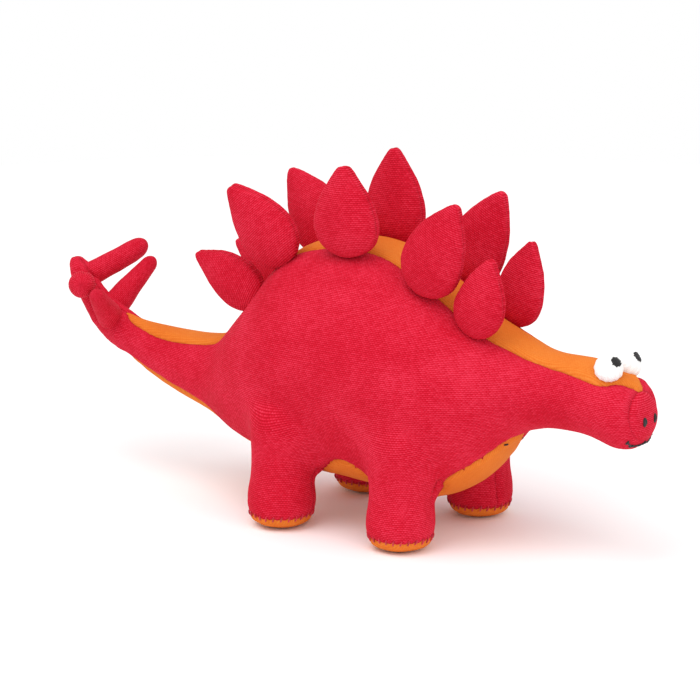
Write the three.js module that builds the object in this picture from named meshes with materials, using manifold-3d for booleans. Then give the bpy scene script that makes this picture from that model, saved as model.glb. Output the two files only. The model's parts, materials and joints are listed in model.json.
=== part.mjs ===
// Stuffed stegosaurus toy: a knitted cover sewn over polyester stuffing, with ten stuffed back
// plates and four stuffed tail spikes. Millimetres, +X towards the nose, +Y the animal's left, +Z up.
import Module from "manifold-3d";
import * as THREE from "three";
import { mergeVertices } from "three/addons/utils/BufferGeometryUtils.js";

// ---- driving dimensions ----

// Trunk from tail tip to nose: centre x, centre z, half width, half height. The sections stand
// upright along the body and lean with the spine where the tail curls up.
const TRUNK = [
  [-193.5, 110, 5.2, 5.2],
  [-186, 96, 7, 7],
  [-173, 80, 9.5, 9.5],
  [-150, 69.5, 12.5, 13],
  [-120, 62.5, 17.5, 18.5],
  [-96, 60.5, 23.5, 22.5],
  [-86, 62, 29, 28.5],
  [-70, 67.5, 39, 40],
  [-46, 77.8, 48.5, 56.3],
  [-18, 81.2, 52, 61.6],
  [12, 80.3, 52.5, 62],
  [40, 73.5, 50, 55.5],
  [56, 72.5, 44, 47],
  [67, 74, 37.5, 39.5],
  [76, 78.5, 31, 32],
  [85, 82.5, 26, 25.5],
  [98, 83, 21, 21],
  [112, 83.5, 19.5, 20],
  [126, 83, 20.5, 20.5],
  [140, 79.5, 21.5, 20.5],
  [157.5, 76.3, 19.2, 17.8],
];
const TAIL_CAP = 7;
const NOSE_CAP = 14;
const TRUNK_SIDES = 20;
// Ring places along the spine in the rounded ends, where the section changes fast.
const TAIL_END_PLACES = [0, 0.0015, 0.007, 0.02];
const NOSE_END_PLACES = [0.967, 0.982, 0.992, 0.998, 1];
// The tail's sections turn with the spine as it curls up, between these two x.
const UPRIGHT_FROM = -110;
const LEANING_FROM = -150;

// Legs: equal upright tubes, each closed by a round sole.
const LEGS = [
  { name: "hind_right", x: -34.5, y: 37, side: -1 },
  { name: "hind_left", x: -34.5, y: 37, side: 1 },
  { name: "front_right", x: 36.2, y: 35.3, side: -1 },
  { name: "front_left", x: 36.2, y: 35.3, side: 1 },
];
const LEG_RADIUS = 16.4;
const LEG_TOP = 52;
const LEG_CROWN = 10;
const LEG_SIDES = 18;
const SOLE_FLAT_RADIUS = 13;
const SOLE_ROUNDING = 3;
const SOLE_HEIGHT = 6;

// Cloth and the clearances between neighbouring pieces.
const CLOTH = 1.5;
const GAP = 0.3;
const SEAM = 0.15;

// Seam lines in plan: x and half width of the back gusset and of the belly gusset.
const BACK_SEAM = [
  [-164, 0.8], [-158, 3.8], [-150, 5.8], [-138, 8.2], [-118, 9.8], [-98, 11], [-60, 14], [-10, 13.4],
  [40, 14], [68, 13.8], [88, 12.2], [108, 11.6], [122, 13.4], [132, 13.8], [140, 11], [147, 5.4], [151, 0.8],
];
const BELLY_SEAM = [
  [-188, 0.8], [-150, 4], [-110, 7], [-80, 13], [-56, 17.5], [-36, 18], [0, 22],
  [36, 18], [54, 17], [68, 11], [81, 0.8],
];
const INNER_LEG_TOP = 45;
const INNER_LEG_REACH = 1.2;
const GUSSET_POINT = 0.3;
const BEHIND_TAIL_Z = 120;
const MUZZLE_X = 151;

// Bending places: the neck nods about a crosswise line, the tail wags about an upright one.
const NECK = { x: 96, z: 83, range: 15 };
const TAIL = { x: -98, range: 20 };
const BEND_EXTRA = 1;

// Back plates from tail to neck: where the base meets the back (x, y), the tip, the full width.
const PLATES = [
  { name: "rear", base: [-67, 16], tip: [-103, 17, 127.5], width: 27 },
  { name: "haunch", base: [-44, 19.5], tip: [-74.5, 26, 167.5], width: 35 },
  { name: "middle", base: [-5.5, 21], tip: [-7, 22, 184], width: 36.5 },
  { name: "shoulder", base: [37.5, 20], tip: [58, 21, 172], width: 34 },
  { name: "neck", base: [67, 18], tip: [77, 18, 148.5], width: 27 },
];
const PLATE_CLEARANCE = 2;
const PLATE_THICKNESS = 0.44;
const PLATE_WIDEST = 0.34;
const PLATE_BLUNTNESS = 0.74;
const PLATE_RINGS = 6;
const PLATE_SIDES = 12;
const PLATE_OPENING = 3;

// Tail spikes: root on the tail's surface and tip. They are stuffed and sewn on by hand, so no two match.
const SPIKES = [
  { name: "inner_right", root: [-165.4, -8.8, 83], tip: [-156.2, -31, 100.2] },
  { name: "inner_left", root: [-173, 9.4, 85.6], tip: [-163.4, 28, 106.2] },
  { name: "outer_right", root: [-183.2, -7, 96], tip: [-166, -30.2, 103.2] },
  { name: "outer_left", root: [-186.6, 6.9, 99.4], tip: [-175.4, 37, 110.6] },
];
const TAIL_END_WAY = [0.76, 0, -0.65];
const SPIKE_BASE_RADIUS = 7;
const SPIKE_TIP_RADIUS = 4.2;
const SPIKE_CLEARANCE = 3.6;
const SPIKE_SIDES = 14;
const SPIKE_TIP_TURNS = [0, 30, 60];

// Face: embroidered eyes, pupils, nostrils and mouth.
const EYE = { x: 138, angle: 28, radius: 7.2, height: 3.6 };
const PUPIL = { radius: 2.8, height: 1.5, forward: 3.4 };
const NOSTRIL = { x: 155.3, angle: 98, radius: 2.4, height: 1.4 };
const MOUTH = { x: 151.5, cornerBack: 3.5, angle: 46, thread: 0.8 };

const MOUTH_STEPS = 14;

// The middle of the whole length, and a reach beyond everything.
const MIDDLE_X = -19.125;
const FAR = 400;
const HALVINGS = 30;

const RED = 0xd8223f;
const DEEP_RED = 0xb01730;
const ORANGE = 0xe8782f;
const FILLING = 0xf1efe8;
const WHITE = 0xf4f2ee;
const BLACK = 0x1a1718;

// ---- boolean helpers ----

const wasm = await Module();
wasm.setup();

function toSolid(geometry) {
  const bare = geometry.clone();
  bare.deleteAttribute("normal");
  bare.deleteAttribute("uv");
  const merged = mergeVertices(bare, 1e-4);
  const mesh = new wasm.Mesh({
    numProp: 3,
    vertProperties: new Float32Array(merged.attributes.position.array),
    triVerts: new Uint32Array(merged.index.array),
  });
  return new wasm.Manifold(mesh);
}

function toGeometry(solid) {
  const mesh = solid.getMesh();
  const geometry = new THREE.BufferGeometry();
  geometry.setAttribute("position", new THREE.BufferAttribute(mesh.vertProperties, 3));
  geometry.setIndex(new THREE.BufferAttribute(mesh.triVerts, 1));
  geometry.computeVertexNormals();
  return geometry;
}

// The largest separate body of a cut: the cuts can leave crumbs where two seams meet.
function mainBody(solid) {
  const bodies = solid.decompose();
  return bodies.reduce((best, body) => (body.volume() > best.volume() ? body : best));
}

// A prism whose outline is given in x and z, reaching across the whole animal.
function prismAcross(points) {
  const shape = new THREE.Shape(points.map(([x, z]) => new THREE.Vector2(x, z)));
  const geometry = new THREE.ExtrudeGeometry(shape, { depth: 2 * FAR, bevelEnabled: false });
  geometry.translate(0, 0, -FAR);
  geometry.rotateX(Math.PI / 2);
  return toSolid(geometry);
}

// A prism whose outline is given in x and y, standing from the ground up.
function prismUp(points) {
  const shape = new THREE.Shape(points.map(([x, y]) => new THREE.Vector2(x, y)));
  const geometry = new THREE.ExtrudeGeometry(shape, { depth: 2 * FAR, bevelEnabled: false });
  geometry.translate(0, 0, -FAR);
  return toSolid(geometry);
}

function block(low, high) {
  const size = high.map((value, axis) => value - low[axis]);
  const geometry = new THREE.BoxGeometry(...size);
  geometry.translate(...low.map((value, axis) => value + size[axis] / 2));
  return toSolid(geometry);
}

// ---- trunk ----

const spine = new THREE.CatmullRomCurve3(
  TRUNK.map(([x, z]) => new THREE.Vector3(x, 0, z)),
  false,
  "catmullrom",
  0.5,
);
const girth = new THREE.SplineCurve(TRUNK.map(([, , w, h]) => new THREE.Vector2(w, h)));

// How far into a rounded end a place lies: 1 at the very end, 0 where the end meets the full section.
function capDepth(distance, length) {
  return Math.max(1 - distance / length, 0);
}

// The trunk's cross-section at a place along the spine, from 0 at the tail tip to 1 at the nose.
function section(along, inset) {
  const centre = spine.getPoint(along);
  const tangent = spine.getTangent(along);
  const lean = 1 - THREE.MathUtils.smoothstep(centre.x, LEANING_FROM, UPRIGHT_FROM);
  const up = new THREE.Vector3(-lean * tangent.z, 0, tangent.x).normalize();
  const radii = girth.getPoint(along);
  const tailDepth = capDepth(centre.distanceTo(spine.getPoint(0)), TAIL_CAP);
  const noseDepth = capDepth(centre.distanceTo(spine.getPoint(1)), NOSE_CAP);
  const scale = Math.sqrt(Math.max(1 - tailDepth ** 2 - noseDepth ** 2, 0));
  centre.addScaledVector(tangent, inset * (tailDepth - noseDepth));
  return { centre, up, width: scale * (radii.x - inset), height: scale * (radii.y - inset) };
}

// Where the spine passes a given x, ahead of the tail's curl.
function placeAt(x) {
  let low = 0.1;
  let high = 1;
  for (let i = 0; i < HALVINGS; i++) {
    const middle = (low + high) / 2;
    if (spine.getPoint(middle).x < x) low = middle;
    else high = middle;
  }
  return low;
}

// Ring places along the trunk, closer together in the rounded ends.
function ringPlaces() {
  const steps = TRUNK.length - 1;
  const between = [];
  for (let step = 1; step < steps; step++) between.push(step / steps);
  return [...TAIL_END_PLACES, ...between, ...NOSE_END_PLACES];
}

function trunkGeometry(inset) {
  const places = ringPlaces();
  const last = places.length - 1;
  const profile = places.map((_, row) => new THREE.Vector2(row % last === 0 ? 0 : 1, row));
  const geometry = new THREE.LatheGeometry(profile, TRUNK_SIDES);
  const position = geometry.attributes.position;
  for (let i = 0; i < position.count; i++) {
    const { centre, up, width, height } = section(places[Math.round(position.getY(i))], inset);
    centre.addScaledVector(up, position.getX(i) * height);
    centre.y += position.getZ(i) * width;
    position.setXYZ(i, centre.x, centre.y, centre.z);
  }
  return geometry;
}

function legGeometry(inset, bottom) {
  const radius = LEG_RADIUS - inset;
  const profile = [[0, bottom], [radius, bottom], [radius, LEG_TOP], [0, LEG_TOP + LEG_CROWN - inset]];
  const geometry = new THREE.LatheGeometry(profile.map(([r, z]) => new THREE.Vector2(r, z)), LEG_SIDES);
  geometry.rotateX(Math.PI / 2);
  return geometry;
}

function legSolid(leg, inset, bottom) {
  const geometry = legGeometry(inset, bottom);
  geometry.translate(leg.x, leg.side * leg.y, 0);
  return toSolid(geometry);
}

const LEG_BOTTOM = SOLE_HEIGHT + GAP;
const outer = LEGS.reduce(
  (body, leg) => body.add(legSolid(leg, 0, LEG_BOTTOM)),
  toSolid(trunkGeometry(0)),
);
const hollow = LEGS.reduce(
  (body, leg) => body.add(legSolid(leg, CLOTH, 0)),
  toSolid(trunkGeometry(CLOTH)),
);
const clothShell = outer.subtract(hollow);

// ---- cutting regions ----

// A gusset's outline in plan, grown or shrunk sideways, pointed at both ends.
function gussetPlan(seam, grow) {
  const edge = new THREE.SplineCurve(seam.map(([x, w]) => new THREE.Vector2(x, w)));
  const points = edge.getPoints(2 * seam.length);
  const left = points.map(({ x, y }) => [x, Math.max(y + grow, GUSSET_POINT)]);
  const right = points.map(({ x, y }) => [x, -Math.max(y + grow, GUSSET_POINT)]).reverse();
  return prismUp([...right, ...left]);
}

// The spaces above and below the spine, which tell the back gusset from the belly gusset.
const spineLine = [
  [-FAR, BEHIND_TAIL_Z],
  ...spine.getPoints(TRUNK.length).map(({ x, z }) => [x, z]),
  [FAR, TRUNK.at(-1)[1]],
];
const aboveSpine = prismAcross([...spineLine, [FAR, FAR], [-FAR, FAR]]);
const belowSpine = prismAcross([[-FAR, -FAR], [FAR, -FAR], ...spineLine.toReversed()]);

// The space on one side of a leaning crosswise plane through a place, opened above and below it.
function wedgeAcross(x, z, towards, degrees) {
  const reach = FAR * Math.tan((degrees * Math.PI) / 180);
  return prismAcross([
    [x, z],
    [x + towards * reach, z + FAR],
    [x + towards * FAR * 2, z + FAR],
    [x + towards * FAR * 2, z - FAR],
    [x + towards * reach, z - FAR],
  ]);
}

// The same for an upright line: the space on one side, opened to the left and right of it.
function wedgeUp(x, towards, degrees) {
  const reach = FAR * Math.tan((degrees * Math.PI) / 180);
  return prismUp([
    [x, 0],
    [x + towards * reach, FAR],
    [x + towards * FAR * 2, FAR],
    [x + towards * FAR * 2, -FAR],
    [x + towards * reach, -FAR],
  ]);
}

// The cloth is parted at the neck and the tail, wide enough that the halves clear at full bend.
const neckOpen = NECK.range / 2 + BEND_EXTRA;
const tailOpen = TAIL.range / 2 + BEND_EXTRA;
const headZone = wedgeAcross(NECK.x + GAP, NECK.z, 1, neckOpen);
const tailZone = wedgeUp(TAIL.x - GAP, -1, tailOpen);
const torsoZone = wedgeAcross(NECK.x - GAP, NECK.z, -1, neckOpen).intersect(
  wedgeUp(TAIL.x + GAP, 1, tailOpen),
);

// The block that holds the inward half of a leg, up to where it meets the belly.
function innerLegRegion(leg, grow) {
  const reach = LEG_RADIUS + INNER_LEG_REACH + grow;
  const inner = leg.y - reach;
  const outerEdge = leg.y + grow;
  const [low, high] = leg.side > 0 ? [inner, outerEdge] : [-outerEdge, -inner];
  return block([leg.x - reach, low, -1], [leg.x + reach, high, INNER_LEG_TOP + grow]);
}

const backCut = gussetPlan(BACK_SEAM, SEAM).intersect(aboveSpine);
const bellyCut = gussetPlan(BELLY_SEAM, SEAM).intersect(belowSpine);
const innerLegCut = LEGS.map((leg) => innerLegRegion(leg, SEAM)).reduce((all, region) => all.add(region));
const muzzleZone = block([MUZZLE_X + SEAM, -FAR, -FAR], [FAR, FAR, FAR]);
const behindMuzzle = block([-FAR, -FAR, -FAR], [MUZZLE_X - SEAM, FAR, FAR]);

const backCloth = clothShell.intersect(gussetPlan(BACK_SEAM, -SEAM).intersect(aboveSpine));
const bellyCloth = clothShell
  .intersect(gussetPlan(BELLY_SEAM, -SEAM).intersect(belowSpine))
  .subtract(innerLegCut);
const sideCloth = clothShell.subtract(backCut).subtract(bellyCut).subtract(innerLegCut);

function oneSide(solid, side) {
  const [low, high] = side > 0 ? [SEAM, FAR] : [-FAR, -SEAM];
  return solid.intersect(block([-FAR, low, -FAR], [FAR, high, FAR]));
}

// ---- meshes ----

const dinosaur = new THREE.Group();
const SIDES = [{ name: "right", side: -1 }, { name: "left", side: 1 }];

function addMesh(name, geometry, color, roughness = 0.95) {
  const material = new THREE.MeshStandardMaterial({ color, roughness, metalness: 0 });
  const mesh = new THREE.Mesh(geometry, material);
  mesh.name = name;
  dinosaur.add(mesh);
  return mesh;
}

function addSolid(name, solid, color, roughness) {
  return addMesh(name, toGeometry(mainBody(solid)), color, roughness);
}

function addTrunkCloth() {
  for (const { name, side } of SIDES) {
    const cloth = oneSide(sideCloth, side);
    addSolid(`torso_side_${name}`, cloth.intersect(torsoZone), RED);
    addSolid(`head_side_${name}`, cloth.intersect(headZone).intersect(behindMuzzle), RED);
    addSolid(`tail_side_${name}`, cloth.intersect(tailZone), RED);
  }
  addSolid("back_gusset_torso", backCloth.intersect(torsoZone), ORANGE);
  addSolid("back_gusset_neck", backCloth.intersect(headZone).intersect(behindMuzzle), ORANGE);
  addSolid("back_gusset_tail", backCloth.intersect(tailZone), ORANGE);
  addSolid("belly_gusset_torso", bellyCloth.intersect(torsoZone), ORANGE);
  addSolid("belly_gusset_tail", bellyCloth.intersect(tailZone), ORANGE);
  addSolid("muzzle_panel", clothShell.intersect(muzzleZone), RED);
}

// A stuffed sole: flat where it meets the ground, rounded up to the leg's own girth.
function soleGeometry() {
  const profile = [
    [0, 0],
    [SOLE_FLAT_RADIUS, 0],
    [LEG_RADIUS, SOLE_ROUNDING],
    [LEG_RADIUS, SOLE_HEIGHT],
    [0, SOLE_HEIGHT],
  ];
  const geometry = new THREE.LatheGeometry(profile.map(([r, z]) => new THREE.Vector2(r, z)), LEG_SIDES);
  geometry.rotateX(Math.PI / 2);
  return geometry;
}

function addLegs() {
  const trunkRoom = toSolid(trunkGeometry(CLOTH));
  for (const leg of LEGS) {
    addSolid(`inner_leg_${leg.name}`, clothShell.intersect(innerLegRegion(leg, -SEAM)), RED);
    const filling = legSolid(leg, CLOTH + GAP, LEG_BOTTOM).subtract(trunkRoom);
    addSolid(`leg_stuffing_${leg.name}`, filling, FILLING);
    const sole = addMesh(`sole_${leg.name}`, soleGeometry(), ORANGE);
    sole.position.set(leg.x, leg.side * leg.y, 0);
  }
}

function addTrunkStuffing() {
  const filling = toSolid(trunkGeometry(CLOTH + GAP));
  addSolid("torso_stuffing", filling.intersect(torsoZone), FILLING);
  addSolid("head_stuffing", filling.intersect(headZone), FILLING);
  addSolid("tail_stuffing", filling.intersect(tailZone), FILLING);
}

// ---- plates ----

// Half width of a plate as a share of its widest, from its base (0) to its tip (1).
function leafShare(height) {
  const power = Math.log(0.5) / Math.log(PLATE_WIDEST);
  return Math.sin(Math.PI * height ** power) ** PLATE_BLUNTNESS;
}

function leafGeometry(length, width, inset) {
  const profile = [];
  for (let ring = 0; ring <= PLATE_RINGS; ring++) {
    const turn = (ring / PLATE_RINGS) * Math.PI;
    const height = (1 - Math.cos(turn)) / 2;
    const radius = ring % PLATE_RINGS === 0 ? 0 : leafShare(height) * (width / 2 - inset);
    profile.push(new THREE.Vector2(radius, inset + height * (length - 2 * inset)));
  }
  const geometry = new THREE.LatheGeometry(profile, PLATE_SIDES);
  geometry.rotateX(Math.PI / 2);
  const thin = ((width / 2) * PLATE_THICKNESS - inset) / (width / 2 - inset);
  geometry.scale(1, thin, 1);
  return geometry;
}

// A plate's base: just clear of the back's surface at the given place.
function plateBase([x, y], side) {
  const { centre, width, height } = section(placeAt(x), -PLATE_CLEARANCE);
  return [x, side * y, centre.z + height * Math.sqrt(1 - (y / width) ** 2)];
}

// Turns a shape that stands on its base at the origin into its place on the animal.
function standAt(mesh, base, outward, alongSpine) {
  const z = new THREE.Vector3(...outward).normalize();
  const y = new THREE.Vector3().crossVectors(z, new THREE.Vector3(...alongSpine)).normalize();
  const x = new THREE.Vector3().crossVectors(y, z);
  mesh.quaternion.setFromRotationMatrix(new THREE.Matrix4().makeBasis(x, y, z));
  mesh.position.set(...base);
}

function mirrored([x, y, z], side) {
  return [x, side * y, z];
}

function addPlates() {
  for (const plate of PLATES) {
    for (const { name, side } of SIDES) {
      const base = plateBase(plate.base, side);
      const tip = mirrored(plate.tip, side);
      const outward = tip.map((value, axis) => value - base[axis]);
      const length = Math.hypot(...outward);
      const room = toSolid(leafGeometry(length, plate.width, CLOTH - GAP));
      const opening = block([-FAR, -FAR, -FAR], [FAR, FAR, PLATE_OPENING]);
      const leaf = toSolid(leafGeometry(length, plate.width, 0));
      const cover = leaf.subtract(room).subtract(opening);
      const coverMesh = addSolid(`plate_cover_${plate.name}_${name}`, cover, DEEP_RED);
      standAt(coverMesh, base, outward, [1, 0, 0]);
      const filling = leafGeometry(length, plate.width, CLOTH);
      const fillingMesh = addMesh(`plate_stuffing_${plate.name}_${name}`, filling, FILLING);
      standAt(fillingMesh, base, outward, [1, 0, 0]);
    }
  }
}

// ---- spikes ----

// A spike: a tapered tube that stands clear of the tail and ends in a rounded tip.
function spikeGeometry(length) {
  const profile = [[0, SPIKE_CLEARANCE], [SPIKE_BASE_RADIUS, SPIKE_CLEARANCE]];
  const roundStart = length - SPIKE_TIP_RADIUS;
  for (const degrees of SPIKE_TIP_TURNS) {
    const angle = (degrees * Math.PI) / 180;
    profile.push([SPIKE_TIP_RADIUS * Math.cos(angle), roundStart + SPIKE_TIP_RADIUS * Math.sin(angle)]);
  }
  profile.push([0, length]);
  const geometry = new THREE.LatheGeometry(profile.map(([r, z]) => new THREE.Vector2(r, z)), SPIKE_SIDES);
  geometry.rotateX(Math.PI / 2);
  return geometry;
}

// The spikes stand so that they swing about the line that the end of the tail follows.
function addSpikes() {
  for (const { name, root, tip } of SPIKES) {
    const outward = tip.map((value, axis) => value - root[axis]);
    const mesh = addMesh(`spike_${name}`, spikeGeometry(Math.hypot(...outward)), DEEP_RED);
    standAt(mesh, root, outward, TAIL_END_WAY);
  }
}

// ---- face ----

// A point on the head's surface and its outward direction, at an angle from straight up.
function headPoint(x, degrees, side) {
  const { centre, up, width, height } = section(placeAt(x), 0);
  const angle = (degrees * Math.PI) / 180;
  const point = centre.clone().addScaledVector(up, height * Math.cos(angle));
  point.y += side * width * Math.sin(angle);
  const outward = up.clone().multiplyScalar(Math.cos(angle) / height);
  outward.y += (side * Math.sin(angle)) / width;
  return { point, outward: outward.normalize() };
}

function dome(radius, height) {
  const geometry = new THREE.SphereGeometry(radius, 12, 8);
  geometry.scale(1, 1, height / radius);
  return geometry;
}

// The place of a dome that sits on the head, turned to face outwards.
function domePlace(spot, side) {
  const { point, outward } = headPoint(spot.x, spot.angle, side);
  const turn = new THREE.Quaternion().setFromUnitVectors(new THREE.Vector3(0, 0, 1), outward);
  return new THREE.Matrix4().compose(point, turn, new THREE.Vector3(1, 1, 1));
}

function addEyes(skin) {
  for (const { name, side } of SIDES) {
    const place = domePlace(EYE, side);
    const eye = dome(EYE.radius, EYE.height).applyMatrix4(place);
    addSolid(`eye_${name}`, toSolid(eye).subtract(skin), WHITE, 0.8);
    const spot = dome(PUPIL.radius, PUPIL.height + EYE.height);
    spot.translate(PUPIL.forward, 0, 0);
    const room = dome(EYE.radius + GAP, EYE.height + GAP).applyMatrix4(place);
    const pupil = toSolid(spot.applyMatrix4(place)).subtract(toSolid(room)).subtract(skin);
    addSolid(`pupil_${name}`, pupil, BLACK, 0.8);
  }
}

function addNostrils(skin) {
  for (const { name, side } of SIDES) {
    const nostril = dome(NOSTRIL.radius, NOSTRIL.height).applyMatrix4(domePlace(NOSTRIL, side));
    addSolid(`nostril_${name}`, toSolid(nostril).subtract(skin), BLACK, 0.85);
  }
}

// The smile: one thread laid around the underside of the muzzle, its corners further back.
function addMouth() {
  const points = [-1, -0.5, 0, 0.5, 1].map((share) => {
    const spot = MOUTH.x - MOUTH.cornerBack * share * share;
    const { point, outward } = headPoint(spot, 180 - MOUTH.angle * Math.abs(share), Math.sign(share));
    return point.addScaledVector(outward, MOUTH.thread + GAP);
  });
  const ring = new THREE.Shape().absarc(0, 0, MOUTH.thread, 0, 2 * Math.PI);
  const geometry = new THREE.ExtrudeGeometry(ring, {
    steps: MOUTH_STEPS,
    curveSegments: 4,
    extrudePath: new THREE.CatmullRomCurve3(points),
    bevelEnabled: false,
  });
  addMesh("mouth_stitching", geometry, BLACK, 0.85);
}

addTrunkCloth();
addLegs();
addTrunkStuffing();
addPlates();
addSpikes();
const faceSkin = toSolid(trunkGeometry(-GAP));
addEyes(faceSkin);
addNostrils(faceSkin);
addMouth();

// The origin is below the middle of the whole length, on the ground.
dinosaur.position.x = -MIDDLE_X;

export default dinosaur;
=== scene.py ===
"""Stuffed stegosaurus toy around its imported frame.

A knitted cover of shaped panels is sewn over polyester filling. Ten stuffed plates stand along the
back in two rows, four stuffed tubes make the tail spikes, and the face is thread work.
"""

import json
import logging
import math
from collections.abc import Callable, Sequence
from dataclasses import dataclass, field
from enum import Enum, auto

import bmesh
import bpy
import numpy as np
from mathutils import Matrix, Vector, kdtree, noise
from mathutils.bvhtree import BVHTree


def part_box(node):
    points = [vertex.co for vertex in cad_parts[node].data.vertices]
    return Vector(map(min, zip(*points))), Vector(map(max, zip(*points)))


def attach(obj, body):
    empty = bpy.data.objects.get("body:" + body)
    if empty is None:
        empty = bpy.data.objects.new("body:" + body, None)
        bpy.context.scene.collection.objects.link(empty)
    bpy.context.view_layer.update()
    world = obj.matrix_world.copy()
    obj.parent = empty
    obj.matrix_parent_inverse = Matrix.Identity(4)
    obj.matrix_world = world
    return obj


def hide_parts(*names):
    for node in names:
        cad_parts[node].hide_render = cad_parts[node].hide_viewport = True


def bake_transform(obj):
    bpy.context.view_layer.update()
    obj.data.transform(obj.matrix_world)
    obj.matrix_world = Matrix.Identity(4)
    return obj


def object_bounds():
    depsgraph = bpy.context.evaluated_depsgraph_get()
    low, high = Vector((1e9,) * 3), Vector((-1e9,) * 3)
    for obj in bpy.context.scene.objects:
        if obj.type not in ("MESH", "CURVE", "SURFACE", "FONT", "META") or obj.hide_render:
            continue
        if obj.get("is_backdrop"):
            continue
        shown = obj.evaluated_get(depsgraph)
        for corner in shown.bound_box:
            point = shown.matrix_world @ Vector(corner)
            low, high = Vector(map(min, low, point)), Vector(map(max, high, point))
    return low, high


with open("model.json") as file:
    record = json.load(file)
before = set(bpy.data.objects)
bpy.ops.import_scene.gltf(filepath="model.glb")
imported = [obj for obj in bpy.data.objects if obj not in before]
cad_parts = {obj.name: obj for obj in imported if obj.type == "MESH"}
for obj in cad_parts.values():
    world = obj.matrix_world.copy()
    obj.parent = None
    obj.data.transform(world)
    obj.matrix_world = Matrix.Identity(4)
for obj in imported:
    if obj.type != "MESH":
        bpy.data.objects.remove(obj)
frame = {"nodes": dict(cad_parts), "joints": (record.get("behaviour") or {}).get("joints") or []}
CAD_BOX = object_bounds()
LOG = logging.getLogger("dinosaur")
MM = 0.001
# An even swelling, as a share of the furthest that the cloth may move.
EVEN_SWELLING = 0.55
# A light, stretchy jersey that is pushed out by its filling and isn't weighed down.
JERSEY_SETTINGS = {
    "quality": 4, "mass": 0.25, "tension_stiffness": 20, "compression_stiffness": 20,
    "shear_stiffness": 8, "bending_stiffness": 0.6, "use_pressure": True,
}
SETTLING_FRAMES = 20
# How far off a seam line a point may lie and still count as on it, in millimetres.
ON_LINE = 0.02
SIDES = {"right": -1, "left": 1}
MATH = "ShaderNodeMath"
NOISE = "ShaderNodeTexNoise"
Array = np.ndarray


# ---------------------------------------------------------------- colours and materials


def linear(hex_colour: str) -> tuple[float, float, float, float]:
    """Turns an sRGB hex colour into linear red, green, blue and alpha."""
    channels = [int(hex_colour[i : i + 2], 16) / 255 for i in (0, 2, 4)]
    turned = [c / 12.92 if c <= 0.04045 else ((c + 0.055) / 1.055) ** 2.4 for c in channels]
    return (*turned, 1.0)


def add_node(
    tree: bpy.types.NodeTree, kind: str, settings: dict | None = None, **links: object
) -> bpy.types.Node:
    """Adds a shader node.

    Args:
        tree: The node tree that gets the node.
        kind: The node's type name.
        settings: Properties of the node itself.
        links: Input values by socket number, as in i0=...; a socket makes a link.

    Returns:
        The new node.
    """
    node = tree.nodes.new(kind)
    for name, value in (settings or {}).items():
        setattr(node, name, value)
    for name, value in links.items():
        socket = node.inputs[int(name[1:])]
        if isinstance(value, bpy.types.NodeSocket):
            tree.links.new(value, socket)
        else:
            socket.default_value = value
    return node


def new_material(name: str, **values: object) -> tuple[bpy.types.Material, bpy.types.Node]:
    """Makes a material.

    Args:
        name: The material's name.
        values: Constants of the shader by input name, with underscores for spaces.

    Returns:
        The material and its shader.
    """
    material = bpy.data.materials.new(name)
    material.use_nodes = True
    shader = material.node_tree.nodes["Principled BSDF"]
    for key, value in values.items():
        shader.inputs[key.replace("_", " ")].default_value = value
    return material, shader


def connect_surface(
    shader: bpy.types.Node, colour: bpy.types.NodeSocket, height: bpy.types.NodeSocket,
    strength: float, relief: float,
) -> None:
    """Feeds a colour and a height, whose full relief is in millimetres, into a shader."""
    tree = shader.id_data
    bump = add_node(tree, "ShaderNodeBump")
    bump.inputs["Strength"].default_value = strength
    bump.inputs["Distance"].default_value = relief * MM
    tree.links.new(height, bump.inputs["Height"])
    tree.links.new(bump.outputs[0], shader.inputs["Normal"])
    tree.links.new(colour, shader.inputs["Base Color"])


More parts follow.
